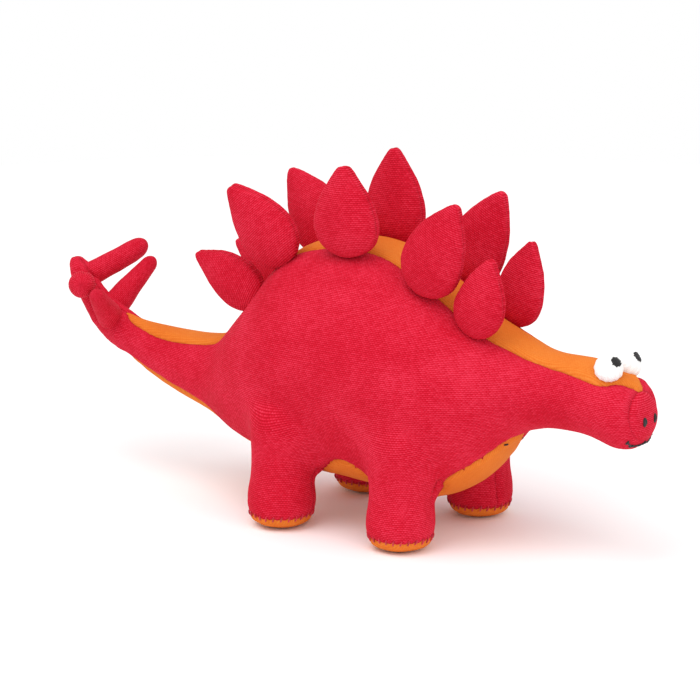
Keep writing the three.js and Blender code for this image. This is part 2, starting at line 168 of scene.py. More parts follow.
@dataclass(frozen=True)
class KnitCloth:
    """Fine weft-knitted jersey: rows of small loops that show as broken lines. Their colour holds painted
    highlight on the raised loops and painted shade in the row valleys, over random patches of tone.

    Sizes are in millimetres. The rows read the piece's own "knit" attribute, which holds the
    distance along the row and across the rows on the cloth.
    """

    name: str
    # mid is the cloth's own colour; deep is painted shade for the row valleys; light is painted highlight for
    # the raised loops and also tints the sheen.
    mid: str
    deep: str
    light: str
    row: float = 0.95
    loop: float = 1.5
    relief: float = 0.22
    # contrast sets how strongly the painted highlight and shade of the loops show.
    contrast: float = 1.0
    sheen: float = 0.12
    wobble: float = 0.4
    wobble_size: float = 11.1
    fuzz_size: float = 0.714
    patch_size: float = 26.3
    row_height: float = 0.26
    loop_height: float = 0.10
    uneven_height: float = 0.22
    fuzz_height: float = 0.5
    deep_stop: float = 0.18
    light_stop: float = 0.82

    def height(
        self, tree: bpy.types.NodeTree, knit: bpy.types.NodeSocket, place: bpy.types.NodeSocket
    ) -> bpy.types.NodeSocket:
        """Adds the loops' height, about 0 to 1.5.

        Args:
            tree: The material's node tree.
            knit: Distances along and across the rows, in millimetres.
            place: The point on the piece.

        Returns:
            The height's socket.
        """
        wobble = add_node(
            tree, NOISE, i0=place, i2=1 / (self.wobble_size * MM), i3=2.0
        ).outputs["Color"]
        shift = add_node(
            tree, "ShaderNodeVectorMath", {"operation": "MULTIPLY_ADD"},
            i0=wobble, i1=(self.wobble, self.wobble, 0.0), i2=knit,
        ).outputs[0]
        parts = add_node(tree, "ShaderNodeSeparateXYZ", i0=shift)
        rows = add_node(
            tree, MATH, {"operation": "DIVIDE"}, i0=parts.outputs[1], i1=self.row
        ).outputs[0]
        row = add_node(tree, MATH, {"operation": "FLOOR"}, i0=rows).outputs[0]
        stagger = add_node(tree, MATH, {"operation": "MULTIPLY"}, i0=row, i1=0.5).outputs[0]
        loops = add_node(
            tree, MATH, {"operation": "DIVIDE"}, i0=parts.outputs[0], i1=self.loop
        ).outputs[0]
        loops = add_node(tree, MATH, {"operation": "ADD"}, i0=loops, i1=stagger).outputs[0]
        waves = []
        for count in (rows, loops):
            turn = add_node(tree, MATH, {"operation": "MULTIPLY"}, i0=count, i1=2 * math.pi)
            waves.append(add_node(tree, MATH, {"operation": "SINE"}, i0=turn.outputs[0]).outputs[0])
        loop = add_node(tree, MATH, {"operation": "FLOOR"}, i0=loops).outputs[0]
        cell = add_node(tree, "ShaderNodeCombineXYZ", i0=loop, i1=row)
        uneven = add_node(tree, "ShaderNodeTexWhiteNoise", {"noise_dimensions": "2D"})
        tree.links.new(cell.outputs[0], uneven.inputs[0])
        fuzz = add_node(tree, NOISE, i0=place, i2=1 / (self.fuzz_size * MM), i3=2.0).outputs["Fac"]
        height = 0.35
        for wave, share in (
            (waves[0], self.row_height), (waves[1], self.loop_height),
            (uneven.outputs[0], self.uneven_height), (fuzz, self.fuzz_height),
        ):
            height = add_node(
                tree, MATH, {"operation": "MULTIPLY_ADD"}, i0=wave, i1=share, i2=height
            ).outputs[0]
        return height

    def build(self) -> bpy.types.Material:
        """Builds the cloth's material and returns it."""
        material, shader = new_material(
            self.name, Roughness=0.86, Specular_IOR_Level=0.12, Sheen_Weight=self.sheen,
            Sheen_Roughness=0.45, Sheen_Tint=linear(self.light),
        )
        tree = material.node_tree
        knit = add_node(tree, "ShaderNodeAttribute", {"attribute_name": "knit"}).outputs["Vector"]
        place = add_node(tree, "ShaderNodeTexCoord").outputs["Object"]
        height = self.height(tree, knit, place)
        patch = add_node(tree, NOISE, i0=place, i2=1 / (self.patch_size * MM), i3=3.0).outputs["Fac"]
        patch = add_node(
            tree, MATH, {"operation": "MULTIPLY_ADD"}, i0=patch, i1=0.5, i2=0.25
        ).outputs[0]
        # Painted highlight and painted shade: the colour follows the loops' height, lighter where they stand up
        # and darker in the row valleys, added to random patches of tone.
        centred = add_node(tree, MATH, {"operation": "SUBTRACT"}, i0=height, i1=0.75).outputs[0]
        painted_light_and_patches = add_node(
            tree, MATH, {"operation": "MULTIPLY_ADD"}, i0=centred, i1=0.8 * self.contrast, i2=patch
        ).outputs[0]
        ramp = add_node(tree, "ShaderNodeValToRGB", i0=painted_light_and_patches)
        stops = ramp.color_ramp.elements
        stops[0].position, stops[0].color = self.deep_stop, linear(self.deep)
        stops[1].position, stops[1].color = self.light_stop, linear(self.light)
        stops.new(0.5).color = linear(self.mid)
        connect_surface(shader, ramp.outputs[0], height, 0.55, self.relief)
        return material


@dataclass(frozen=True)
class Thread:
    """Spun embroidery thread: twisted strands, with a soft gleam along each twist and shade between the twists
    painted into the colour.
    """

    name: str
    colour: str
    # dark is painted shade for the grooves between twists.
    dark: str
    twist: float = 0.55
    fibre_size: float = 0.385
    relief: float = 0.15
    roughness: float = 0.7
    sheen: float = 0.15

    def build(self) -> bpy.types.Material:
        """Builds the thread's material and returns it."""
        material, shader = new_material(self.name, Roughness=self.roughness, Sheen_Weight=self.sheen)
        tree = material.node_tree
        place = add_node(tree, "ShaderNodeTexCoord").outputs["Object"]
        wave = add_node(
            tree, "ShaderNodeTexWave", {"bands_direction": "DIAGONAL"},
            i0=place, i1=1 / (self.twist * MM * 20), i2=3.0, i3=2.0,
        ).outputs["Fac"]
        fibre = add_node(tree, NOISE, i0=place, i2=1 / (self.fibre_size * MM), i3=2.0).outputs["Fac"]
        # Painted highlight and painted shade: the thread's colour on each twist's crest and the dark colour in
        # the grooves between twists.
        mix = add_node(tree, "ShaderNodeMix", {"data_type": "RGBA"}, i0=wave)
        mix.inputs["A"].default_value = linear(self.dark)
        mix.inputs["B"].default_value = linear(self.colour)
        height = add_node(tree, MATH, {"operation": "ADD"}, i0=wave, i1=fibre).outputs[0]
        connect_surface(shader, mix.outputs["Result"], height, 0.5, self.relief)
        return material


# Coral red jersey of the body: a clear red, painted lighter on the loops that stand up and darker in the valleys
# between rows, as painted highlight and painted shade.
RED_JERSEY = KnitCloth("red_knitted_jersey", mid="cb122e", deep="b4071f", light="e13a54")
# The plates and spikes are cut from the same jersey, stretched a little tighter.
PLATE_JERSEY = KnitCloth("red_knitted_jersey_tight", mid="c8112c", deep="b0061e", light="df3750")
# Orange jersey of the gussets and soles: finer and smoother, so its rows hardly show.
ORANGE_JERSEY = KnitCloth(
    "orange_knitted_jersey", mid="dd7629", deep="cf641c", light="e48a3c",
    row=0.95, loop=1.4, relief=0.09, contrast=0.45,
)
# White padded stitching of the eyes: close satin stitches, nearly matt.
WHITE_STITCHING = KnitCloth(
    "white_satin_stitching", mid="f4f3f1", deep="e4e2e0", light="ffffff",
    row=0.8, loop=4.0, relief=0.12, contrast=0.5, sheen=0.1,
)
BLACK_THREAD = Thread("black_embroidery_thread", colour="1c191b", dark="0b090a")
RED_THREAD = Thread("red_sewing_thread", colour="cc1a38", dark="b5122e")
DARK_THREAD = Thread("dark_closing_thread", colour="3a1418", dark="1c080b")


# ---------------------------------------------------------------- the object's own shape


def catmull(points: Array, places: Array) -> Array:
    """Evaluates a uniform Catmull-Rom curve.

    Args:
        points: The control points, one per row.
        places: Places along the curve, from 0 to 1.

    Returns:
        One row per place.
    """
    last = len(points) - 1
    scaled = np.clip(places, 0, 1) * last
    step = np.minimum(scaled.astype(int), last - 1)
    part = (scaled - step)[:, None]
    padded = np.concatenate([[2 * points[0] - points[1]], points, [2 * points[-1] - points[-2]]])
    before, here, there, after = (padded[step + i] for i in range(4))
    pull_in, pull_out = (there - before) / 2, (after - here) / 2
    return (
        (2 * here - 2 * there + pull_in + pull_out) * part**3
        + (-3 * here + 3 * there - 2 * pull_in - pull_out) * part**2
        + pull_in * part
        + here
    )


def smoothstep(low: float, high: float, values: Array) -> Array:
    """Turns values into a smooth 0 to 1 step between low and high, either way round."""
    part = np.clip((values - low) / (high - low), 0, 1)
    return part * part * (3 - 2 * part)


def loft(
    bm: bmesh.types.BMesh, sides: int, rings: int, place: Callable[[int, float], Sequence[float]]
) -> None:
    """Lofts a closed form: one circle is extruded ring by ring and both ends are filled.

    Args:
        bm: The bmesh that gets the form.
        sides: Corners in a ring.
        rings: How many rings there are.
        place: Gives a corner's place, in millimetres, from its ring's number and its turn.
    """
    ring = bmesh.ops.create_circle(bm, segments=sides, radius=1)["verts"]
    turns = [math.atan2(v.co.y, v.co.x) for v in ring]
    for i in range(rings):
        if i:
            around = dict.fromkeys(e for v in ring for e in v.link_edges)
            edges = [e for e in around if all(v in ring for v in e.verts)]
            made = bmesh.ops.extrude_edge_only(bm, edges=edges)["geom"]
            new = {v for v in made if isinstance(v, bmesh.types.BMVert)}
            ring = [next(e.other_vert(v) for e in v.link_edges if e.other_vert(v) in new) for v in ring]
        for v, turn in zip(ring, turns):
            v.co = [value * MM for value in place(i, turn)]
    rims = [e for e in bm.edges if len(e.link_faces) == 1]
    bmesh.ops.holes_fill(bm, edges=rims, sides=0)


@dataclass
class Trunk:
    """The stuffed trunk from tail tip to nose, in millimetres.

    Each station gives the centre's x, the centre's z, the half width and the half height.
    """

    stations: tuple = (
        (-196, 110.5, 7.0, 7.0), (-187, 96, 7.4, 7.4), (-173, 80, 9.5, 9.5), (-150, 69.5, 12.5, 13),
        (-120, 62.5, 17.5, 18.5), (-96, 60.5, 23.5, 22.5), (-86, 62, 29, 28.5), (-70, 67.5, 39, 40),
        (-46, 78.4, 48.5, 57), (-18, 82, 52, 62.4), (12, 80.8, 52.5, 62.5), (40, 73.7, 50, 55.7),
        (56, 72.5, 44, 47), (67, 74, 37.5, 39.5), (76, 78.5, 31, 32), (85, 82.5, 26, 25.5),
        (98, 83, 21, 21), (112, 83.5, 19.5, 20), (126, 83, 20.5, 20.5), (140, 79.2, 21.0, 20.0),
        (157, 75.4, 18.8, 17.6),
    )
    tail_cap: float = 5.5
    nose_cap: float = 14
    upright_from: float = -110
    leaning_from: float = -150
    front_leg_x: float = 36.2
    sides: int = 64
    samples: int = 400
    curl_reach: float = 25
    along_share: float = 0.35
    shift: float = field(init=False)

    def __post_init__(self) -> None:
        """Places the stations in the frame by the front sole and samples the spine."""
        low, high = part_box("sole_front_right")
        self.shift = (low.x + high.x) / 2 / MM - self.front_leg_x
        self.table = np.array(self.stations, float) + [self.shift, 0, 0, 0]
        self.places = np.linspace(0, 1, self.samples)
        self.centre, self.up, self.width, self.height = self.sections(self.places, 0)

    def sections(self, places: Array, inset: float) -> tuple[Array, Array, Array, Array]:
        """Gives the cross-sections at places along the spine.

        Args:
            places: From 0 at the tail tip to 1 at the nose.
            inset: How far inside the cover the section lies.

        Returns:
            Centres, up directions, half widths and half heights.
        """
        values = catmull(self.table, places)
        centre = np.stack([values[:, 0], 0 * places, values[:, 1]], 1)
        ahead = catmull(self.table, np.minimum(places + 1e-3, 1))[:, :2]
        behind = catmull(self.table, np.maximum(places - 1e-3, 0))[:, :2]
        run = ahead - behind
        run /= np.linalg.norm(run, axis=1)[:, None]
        lean = 1 - smoothstep(self.leaning_from, self.upright_from, values[:, 0] - self.shift)
        up = np.stack([-lean * run[:, 1], 0 * places, run[:, 0]], 1)
        up /= np.linalg.norm(up, axis=1)[:, None]
        ends = catmull(self.table, np.array([0.0, 1.0]))[:, :2]
        tail = np.maximum(1 - np.linalg.norm(values[:, :2] - ends[0], axis=1) / self.tail_cap, 0)
        nose = np.maximum(1 - np.linalg.norm(values[:, :2] - ends[1], axis=1) / self.nose_cap, 0)
        scale = np.sqrt(np.maximum(1 - tail**2 - nose**2, 0))
        centre[:, 0] += run[:, 0] * inset * (tail - nose)
        centre[:, 2] += run[:, 1] * inset * (tail - nose)
        return centre, up, scale * (values[:, 2] - inset), scale * (values[:, 3] - inset)

    def blank(self, bm: bmesh.types.BMesh, inset: float) -> None:
        """Lofts the trunk into a bmesh, its rings closer together towards the rounded ends.

        Args:
            bm: The bmesh that gets the trunk.
            inset: How far inside the cover it lies, in millimetres.
        """
        thirds = 3 * (len(self.stations) - 1)
        places = [0.0008, 0.003, 0.008, 0.016, 0.028]
        places += [i / thirds for i in range(2, thirds - 2)]
        places += [0.958, 0.968, 0.978, 0.986, 0.992, 0.996, 0.999]
        centre, up, width, height = self.sections(np.array(places), inset)

        def place(i: int, turn: float) -> tuple[float, float, float]:
            """A corner's place, in millimetres."""
            point = centre[i] + up[i] * (math.cos(turn) * height[i])
            return point[0], math.sin(turn) * width[i], point[2]

        loft(bm, self.sides, len(places), place)

    def nearest(self, points: Array) -> Array:
        """Finds the spine sample that each point, in millimetres, belongs to."""
        by_x = np.searchsorted(self.centre[:, 0], points[:, 0]).clip(0, self.samples - 1)
        curl = points[:, 0] < self.leaning_from + self.shift + self.curl_reach
        tail = self.centre[: self.samples // 3]
        spread = points[curl][:, None, [0, 2]] - tail[None][:, :, [0, 2]]
        run = np.stack([self.up[: len(tail), 2], -self.up[: len(tail), 0]], 1)
        off = np.abs((spread * run[None]).sum(2))
        off += self.along_share * np.linalg.norm(spread, axis=2)
        by_x[curl] = off.argmin(1)
        return by_x


@dataclass
class Leg:
    """One stuffed leg with its round sole, in millimetres."""

    name: str
    x: float
    y: float
    side: int
    radius: float = 16.7
    top: float = 58
    rounding: float = 5.0

    def blank(self, bm: bmesh.types.BMesh, inset: float) -> None:
        """Adds the leg's upright tube, rounded at the foot, to a bmesh."""
        depth = self.top - inset
        radius = self.radius - inset
        made = bmesh.ops.create_cone(
            bm, cap_ends=True, segments=40, radius1=radius * MM, radius2=radius * MM, depth=depth * MM
        )["verts"]
        middle = (self.x * MM, self.y * MM, (inset + depth / 2) * MM)
        bmesh.ops.translate(bm, verts=made, vec=middle)
        around = dict.fromkeys(e for v in made for e in v.link_edges)
        foot = [e for e in around if max(v.co.z for v in e.verts) < 2 * inset * MM]
        bmesh.ops.bevel(
            bm, geom=foot, offset=self.rounding * MM, segments=7, profile=0.5,
            affect="EDGES", material=-1,
        )


def make_object(name: str, mesh: bpy.types.Mesh) -> bpy.types.Object:
    """Makes an object of a mesh and links it to the scene."""
    made = bpy.data.objects.new(name, mesh)
    bpy.context.scene.collection.objects.link(made)
    return made


def mesh_of(bm: bmesh.types.BMesh, name: str) -> bpy.types.Mesh:
    """Turns a bmesh into a smooth-shaded mesh and frees it."""
    mesh = bpy.data.meshes.new(name)
    bm.to_mesh(mesh)
    bm.free()
    mesh.shade_smooth()
    return mesh


def applied(piece: bpy.types.Object) -> bpy.types.Object:
    """Replaces a piece's mesh with its modifiers' result and removes them."""
    graph = bpy.context.evaluated_depsgraph_get()
    graph.update()
    mesh = bpy.data.meshes.new_from_object(piece.evaluated_get(graph))
    old = piece.data
    piece.modifiers.clear()
    piece.data = mesh
    bpy.data.meshes.remove(old)
    mesh.shade_smooth()
    return piece


def points_of(mesh: bpy.types.Mesh) -> Array:
    """Reads a mesh's points, in millimetres, one per row."""
    points = np.zeros(len(mesh.vertices) * 3, np.float32)
    mesh.vertices.foreach_get("co", points)
    return points.reshape(-1, 3).astype(float) / MM


def set_points(mesh: bpy.types.Mesh, points: Array) -> None:
    """Writes points, in millimetres, back to a mesh."""
    mesh.vertices.foreach_set("co", (points * MM).astype(np.float32).ravel())
    mesh.update()


def normals_of(mesh: bpy.types.Mesh) -> Array:
    """Reads a mesh's point normals."""
    normals = np.zeros(len(mesh.vertices) * 3, np.float32)
    mesh.vertex_normals.foreach_get("vector", normals)
    return normals.reshape(-1, 3).astype(float)


def corners_of(mesh: bpy.types.Mesh, kind: str = "vertex_index") -> Array:
    """Reads the point number, or another number by kind, at each corner of a mesh's triangles."""
    corners = np.zeros(len(mesh.loops), np.int32)
    mesh.loops.foreach_get(kind, corners)
    return corners.reshape(-1, 3)


def triangulated(piece: bpy.types.Object) -> bpy.types.Object:
    """Divides every face of a piece into triangles."""
    bm = bmesh.new()
    bm.from_mesh(piece.data)
    bmesh.ops.triangulate(bm, faces=bm.faces)
    bm.to_mesh(piece.data)
    bm.free()
    piece.data.shade_smooth()
    return piece


def raise_points(piece: bpy.types.Object, height: Array) -> None:
    """Moves each point of a piece out along its normal by its own height, in millimetres."""
    set_points(piece.data, points_of(piece.data) + normals_of(piece.data) * height[:, None])


def edges_of(mesh: bpy.types.Mesh) -> Array:
    """Reads a mesh's edges as pairs of point numbers."""
    edges = np.zeros(len(mesh.edges) * 2, np.int32)
    mesh.edges.foreach_get("vertices", edges)
    return edges.reshape(-1, 2)


def relax(points: Array, edges: Array, weight: Array, rounds: int) -> Array:
    """Draws points towards the middle of their neighbours.

    Args:
        points: The points, one per row.
        edges: Pairs of neighbours.
        weight: How much of the way each point goes, 0 to 1.
        rounds: How many times it is done.

    Returns:
        The relaxed points.
    """
    count = np.bincount(edges.ravel(), minlength=len(points)).clip(1)[:, None]
    for _ in range(rounds):
        total = np.stack(
            [
                np.bincount(edges[:, 0], points[edges[:, 1], k], len(points))
                + np.bincount(edges[:, 1], points[edges[:, 0], k], len(points))
                for k in range(3)
            ],
            1,
        )
        points = points + (total / count - points) * weight[:, None]
    return points


def calmed(points: Array, edges: Array, weight: Array, rounds: int) -> Array:
    """Evens out creases like relax, and pushes back each time so that the shape keeps its size."""
    for _ in range(rounds):
        points = relax(points, edges, weight, 1)
        points = relax(points, edges, -1.03 * weight, 1)
    return points


def remeshed(piece: bpy.types.Object, voxel: float) -> bpy.types.Object:
    """Remeshes a piece into even squares of the given size, in millimetres."""
    modifier = piece.modifiers.new("even", "REMESH")
    modifier.mode = "VOXEL"
    modifier.voxel_size = voxel * MM
    return applied(piece)


def stuffed(
    piece: bpy.types.Object, pressure: float, travel: float, even: Array
) -> bpy.types.Object:
    """Stuffs a closed cloth blank: a cloth simulation swells it, and no point moves past travel.

    Args:
        piece: The blank, sewn shut.
        pressure: The filling's push.
        travel: The furthest that the cloth may move, in millimetres.
        even: Each point's share, 0 to 1, of an even swelling in place of the simulated one.

    Returns:
        The stuffed piece, with the simulation applied.
    """
    rest = points_of(piece.data)
    swollen = rest + normals_of(piece.data) * travel * EVEN_SWELLING
    cloth = piece.modifiers.new("filling", "CLOTH")
    for name, value in JERSEY_SETTINGS.items():
        setattr(cloth.settings, name, value)
    cloth.settings.uniform_pressure_force = pressure
    cloth.settings.effector_weights.gravity = 0
    cloth.point_cache.frame_start = 1
    cloth.point_cache.frame_end = SETTLING_FRAMES
    for number in range(1, SETTLING_FRAMES + 1):
        bpy.context.scene.frame_set(number)
    applied(piece)
    bpy.context.scene.frame_set(1)
    move = points_of(piece.data) - rest
    length = np.linalg.norm(move, axis=1)[:, None].clip(1e-9)
    moved = rest + move * np.minimum(1, travel / length)
    moved += (swollen - moved) * even[:, None]
    set_points(piece.data, calmed(moved, edges_of(piece.data), np.full(len(moved), 0.5), 5))
    return piece


def subdivided(piece: bpy.types.Object, levels: int) -> bpy.types.Object:
    """Smooths a piece by subdivision and applies it."""
    modifier = piece.modifiers.new("smooth", "SUBSURF")
    modifier.levels = modifier.render_levels = levels
    return applied(piece)


def lumps(points: Array, size: float, seed: float) -> Array:
    """Gives each point a soft random height from -1 to 1, in lumps of about size millimetres."""
    scaled = points / size + seed
    return np.array([noise.noise(Vector(p)) for p in scaled])


def snap_to_line(points: Array, edges: Array, height: Array, near: Array) -> Array:
    """Moves points onto the line where height is zero, so that faces divide cleanly along it.

    Args:
        points: The points, changed in place.
        edges: Pairs of neighbours.
        height: Each point's signed distance from the line.
        near: Which points may move.

    Returns:
        The heights, exactly zero for every point on the line.
    """
    height = height.copy()
    for _ in range(4):
        a, b = edges[:, 0], edges[:, 1]
        cross = (height[a] * height[b] < 0) & near[a] & near[b]
        if not cross.any():
            break
        a, b = a[cross], b[cross]
        part = height[a] / (height[a] - height[b])
        place = points[a] + (points[b] - points[a]) * part[:, None]
        target = np.where(part < 0.5, a, b)
        cost = np.minimum(part, 1 - part)
        order = np.argsort(-cost)
        points[target[order]] = place[order]
        height[target] = 0
    return height


class Lay(Enum):
    """How a panel's knitted rows run."""

    SIDE = auto()
    GUSSET = auto()
    MUZZLE = auto()


@dataclass
class Panel:
    """One cut piece of cloth: its name, the region's number, its finish and where it rides."""

    name: str
    region: int
    finish: KnitCloth
    slot: str
    body: str
    bends_to: str | None
    replaces: tuple[str, ...]
    lay: Lay = Lay.SIDE


@dataclass
class Bend:
    """A stretch of x near a joint, kept on the cover: the body's name and the stretch's start and end, in
    millimetres.
    """

    body: str
    start: float
    end: float


@dataclass
class Cover:
    """The whole body cover: trunk and legs, cut into its sewn panels. Sizes in millimetres."""

    trunk: Trunk
    legs: list[Leg]
    inset: float = 2.2
    leg_inset: float = 1.4
    voxel: float = 4.3
    pressure: float = 4.0
    travel: float = 3.4
    cloth: float = 1.0
    seam_depth: float = 1.0
    seam_width: float = 1.5
    thin_tail: tuple[float, float] = (-125, -150)
    thin_nose: tuple[float, float] = (150, 165)
    thin_feet: tuple[float, float] = (30, 15)
    least_even: float = 0.35
    neck_level: float = 80
    head_from: float = 150
    head_bottom: float = 40
    foot_top: float = 14
    sole_seam: float = 6.6
    belly_knot_x: float = 80.5
    scallop: float = 1.1
    scallops: int = 26
    muzzle_x: float = 171.3
    neck_fold_width: float = 1.9
    muzzle_lean: float = 0.1
    halves_x: float = 18.0
    leg_front: float = 1.4
    inner_top: float = 47
    inner_wall: float = 6.7
    bends: dict[str, Bend] = field(default_factory=dict)
    back_seam: tuple = (
        (-164, 0.5), (-158, 3.8), (-150, 5.8), (-138, 8.2), (-118, 9.8), (-98, 11), (-60, 14),
        (-10, 13.4), (40, 14), (68, 13.8), (88, 12.2), (100, 11.2), (110, 12), (122, 13.8),
        (132, 14.2), (138, 12.8), (144, 9), (149, 5), (153, 0.5),
    )
    belly_seam: tuple = (
        (-164, 0.5), (-150, 6), (-138, 8.5), (-124, 11.2), (-110, 14), (-96, 16.5), (-82, 18.8),
        (-68, 20.5), (-58, 20.5), (-50, 19.5), (-36, 18.5), (-22, 19.5), (-14, 27), (-4, 34),
        (6, 35), (15, 28), (21, 19), (36, 18), (50, 19), (55, 24), (59, 24), (65, 21.8),
        (71, 17.5), (77, 11.8), (81.5, 7), (85, 0.5),
    )
    # Each neck fold's place, depth and slope; the place is in the frame, like muzzle_x.
    neck_folds: tuple = ((124.5, 0.8, 0.08), (117.0, 0.35, -0.06))

    def seam_width_at(self, seam: tuple, x: Array) -> Array:
        """Gives a gusset's half width at each x, in millimetres."""
        table = np.array(seam, float) + [self.trunk.shift, 0]
        dense = catmull(table, np.linspace(0, 1, 300))
        return np.interp(x, dense[:, 0], dense[:, 1], left=-1.0, right=-1.0)

    def blank(self) -> bpy.types.Object:
        """Makes the unstuffed cover: trunk and legs merged, with the leg roots softened."""
        bm = bmesh.new()
        self.trunk.blank(bm, self.inset)
        for leg in self.legs:
            leg.blank(bm, self.leg_inset)
        bmesh.ops.recalc_face_normals(bm, faces=bm.faces)
        piece = remeshed(make_object("cover_blank", mesh_of(bm, "cover_blank")), self.voxel)
        points = points_of(piece.data)
        weight = 0.12 + 0.5 * self.leg_root(points)
        set_points(piece.data, relax(points, edges_of(piece.data), weight, 6))
        return piece

    def leg_root(self, points: Array) -> Array:
        """Gives each point's share in the soft root between a leg and the trunk, 0 to 1."""
        share = np.zeros(len(points))
        for leg in self.legs:
            away = np.hypot(points[:, 0] - leg.x, points[:, 1] - leg.y)
            band = smoothstep(leg.radius + 9, leg.radius + 2, away)
            level = smoothstep(16, 28, points[:, 2]) * smoothstep(58, 44, points[:, 2])
            share = np.maximum(share, band * level)
        return share

    def shape(self) -> bpy.types.Object:
        """Stuffs the blank, smooths it and gives it its soft folds and a flat stance."""
        blank = self.blank()
        rest = points_of(blank.data)
        even = smoothstep(*self.thin_tail, rest[:, 0]) + smoothstep(*self.thin_nose, rest[:, 0])
        even = np.maximum(even, smoothstep(*self.thin_feet, rest[:, 2])).clip(self.least_even)
        piece = subdivided(stuffed(blank, self.pressure, self.travel, even), 2)
        points = points_of(piece.data)
        points[:, 2] -= points[:, 2].min() * smoothstep(30, 4, points[:, 2])
        set_points(piece.data, points)
        rise = 0.6 * lumps(points, 30, 3.1) + 0.14 * lumps(points, 11, 11.7)
        rise -= self.fold_depth(points)
        raise_points(piece, rise * smoothstep(4, 14, points[:, 2]))
        self.stand(piece)
        return triangulated(piece)

    def stand(self, piece: bpy.types.Object) -> None:
        """Keeps the cover above the ground that it stands on."""
        points = points_of(piece.data)
        points[:, 2] = np.maximum(points[:, 2], 0)
        set_points(piece.data, points)

    def fold_depth(self, points: Array) -> Array:
        """Depth of the shallow upright folds where the neck leaves the chest, in millimetres."""
        depths = np.zeros(len(points))
        for x, depth, slope in self.neck_folds:
            line = points[:, 0] - x - slope * (points[:, 2] - self.neck_level)
            side = smoothstep(9, 17, np.abs(points[:, 1]))
            depths += depth * np.exp(-((line / self.neck_fold_width) ** 2)) * side
        return depths

    def cut(self, piece: bpy.types.Object) -> Array:
        """Cuts the cover along its seams.

        Args:
            piece: The stuffed cover, in triangles.

        Returns:
            Each face's region number.
        """
        mesh = piece.data
        points, edges = points_of(mesh), edges_of(mesh)
        near_spine = self.trunk.nearest(points)
        centre, up = self.trunk.centre[near_spine], self.trunk.up[near_spine]
        above = ((points - centre) * up).sum(1)
        everywhere = np.ones(len(points), bool)
        back = np.abs(points[:, 1]) - self.seam_width_at(self.back_seam, centre[:, 0])
        back = snap_to_line(points, edges, back, above > 0)
        belly = np.abs(points[:, 1]) - self.seam_width_at(self.belly_seam, centre[:, 0])
        belly = snap_to_line(points, edges, belly, above < 0)
        snap_to_line(points, edges, points[:, 1].copy(), (back > -1) & (belly > -1))
        front = snap_to_line(points, edges, points[:, 0] - self.halves_x, everywhere)
        nose = points[:, 0] - self.muzzle_x + self.muzzle_lean * (points[:, 2] - self.neck_level)
        nose = snap_to_line(points, edges, nose, points[:, 0] > self.head_from)
        foot = self.foot_height(points)
        foot = snap_to_line(points, edges, foot, points[:, 2] < self.foot_top)
        inner, box = self.cut_inner_legs(points, edges, foot, belly)
        set_points(mesh, points)
        corners = corners_of(mesh)

        def total(values: Array) -> Array:
            """Adds up each face's three corner values."""
            return values[corners].sum(1)

        height = total(points[:, 2]) / 3
        leg_number = self.leg_number(points[corners].mean(1))
        in_front = total(front) > 0
        over = total(above) > 0
        side = np.where(total(points[:, 1]) < 0, Region.RIGHT_REAR.value, Region.LEFT_REAR.value)
        region = side + in_front
        is_inner = (total(inner) < 0) & (total(box) < 0) & (total(belly) > 0)
        is_inner &= height < self.inner_top
        region = np.where(is_inner, Region.INNER_LEG.value + leg_number, region)
        region = np.where(over & (total(back) < 0), Region.BACK_REAR.value + in_front, region)
        region = np.where(~over & (total(belly) < 0), Region.BELLY.value, region)
        is_muzzle = (total(nose) > 0) & (height > self.head_bottom)
        region = np.where(is_muzzle, Region.MUZZLE.value, region)
        is_sole = (total(foot) < 0) & (height < self.foot_top)
        return np.where(is_sole, Region.SOLE.value + leg_number, region)

    def cut_inner_legs(
        self, points: Array, edges: Array, foot: Array, belly: Array
    ) -> tuple[Array, Array]:
        """Lays the seams of the four inner leg panels.

        Args:
            points: The cover's points, changed in place.
            edges: Pairs of neighbours.
            foot: Height above the sole's seam.
            belly: Distance outside the belly seam.

        Returns:
            Distances outside the upright seam and outside the panel's reach along the body; both
            are below zero inside a panel.
        """
        low = points[:, 2] < self.inner_top
        inner, box = np.ones(len(points)), np.ones(len(points))
        for leg in self.legs:
            same = (points[:, 1] * leg.side > 0) & (np.abs(points[:, 0] - leg.x) < leg.radius + 8)
            same &= low
            wall = np.abs(points[:, 1]) - abs(leg.y) + self.inner_wall
            reach = np.abs(points[:, 0] - leg.x) - leg.radius - self.leg_front
            cut_wall = snap_to_line(points, edges, wall, same & (reach < 1.2) & (foot >= 0))
            cut_box = snap_to_line(points, edges, reach, same & (wall < 1.2) & (belly > -1))
            inner = np.where(same, cut_wall, inner)
            box = np.where(same, cut_box, box)
        return inner, box

    def foot_height(self, points: Array) -> Array:
        """Height above the scalloped seam between leg and sole, in millimetres."""
        number = self.leg_number(points)
        x = np.array([leg.x for leg in self.legs])[number]
        y = np.array([leg.y for leg in self.legs])[number]
        turn = np.arctan2(points[:, 1] - y, points[:, 0] - x)
        wave = np.abs(np.sin(turn * self.scallops / 2))
        return points[:, 2] - self.sole_seam + self.scallop * (wave - 0.6)

    def leg_number(self, points: Array) -> Array:
        """The number of the leg nearest to each point."""
        gaps = [np.hypot(points[:, 0] - leg.x, points[:, 1] - leg.y) for leg in self.legs]
        return np.argmin(gaps, axis=0)

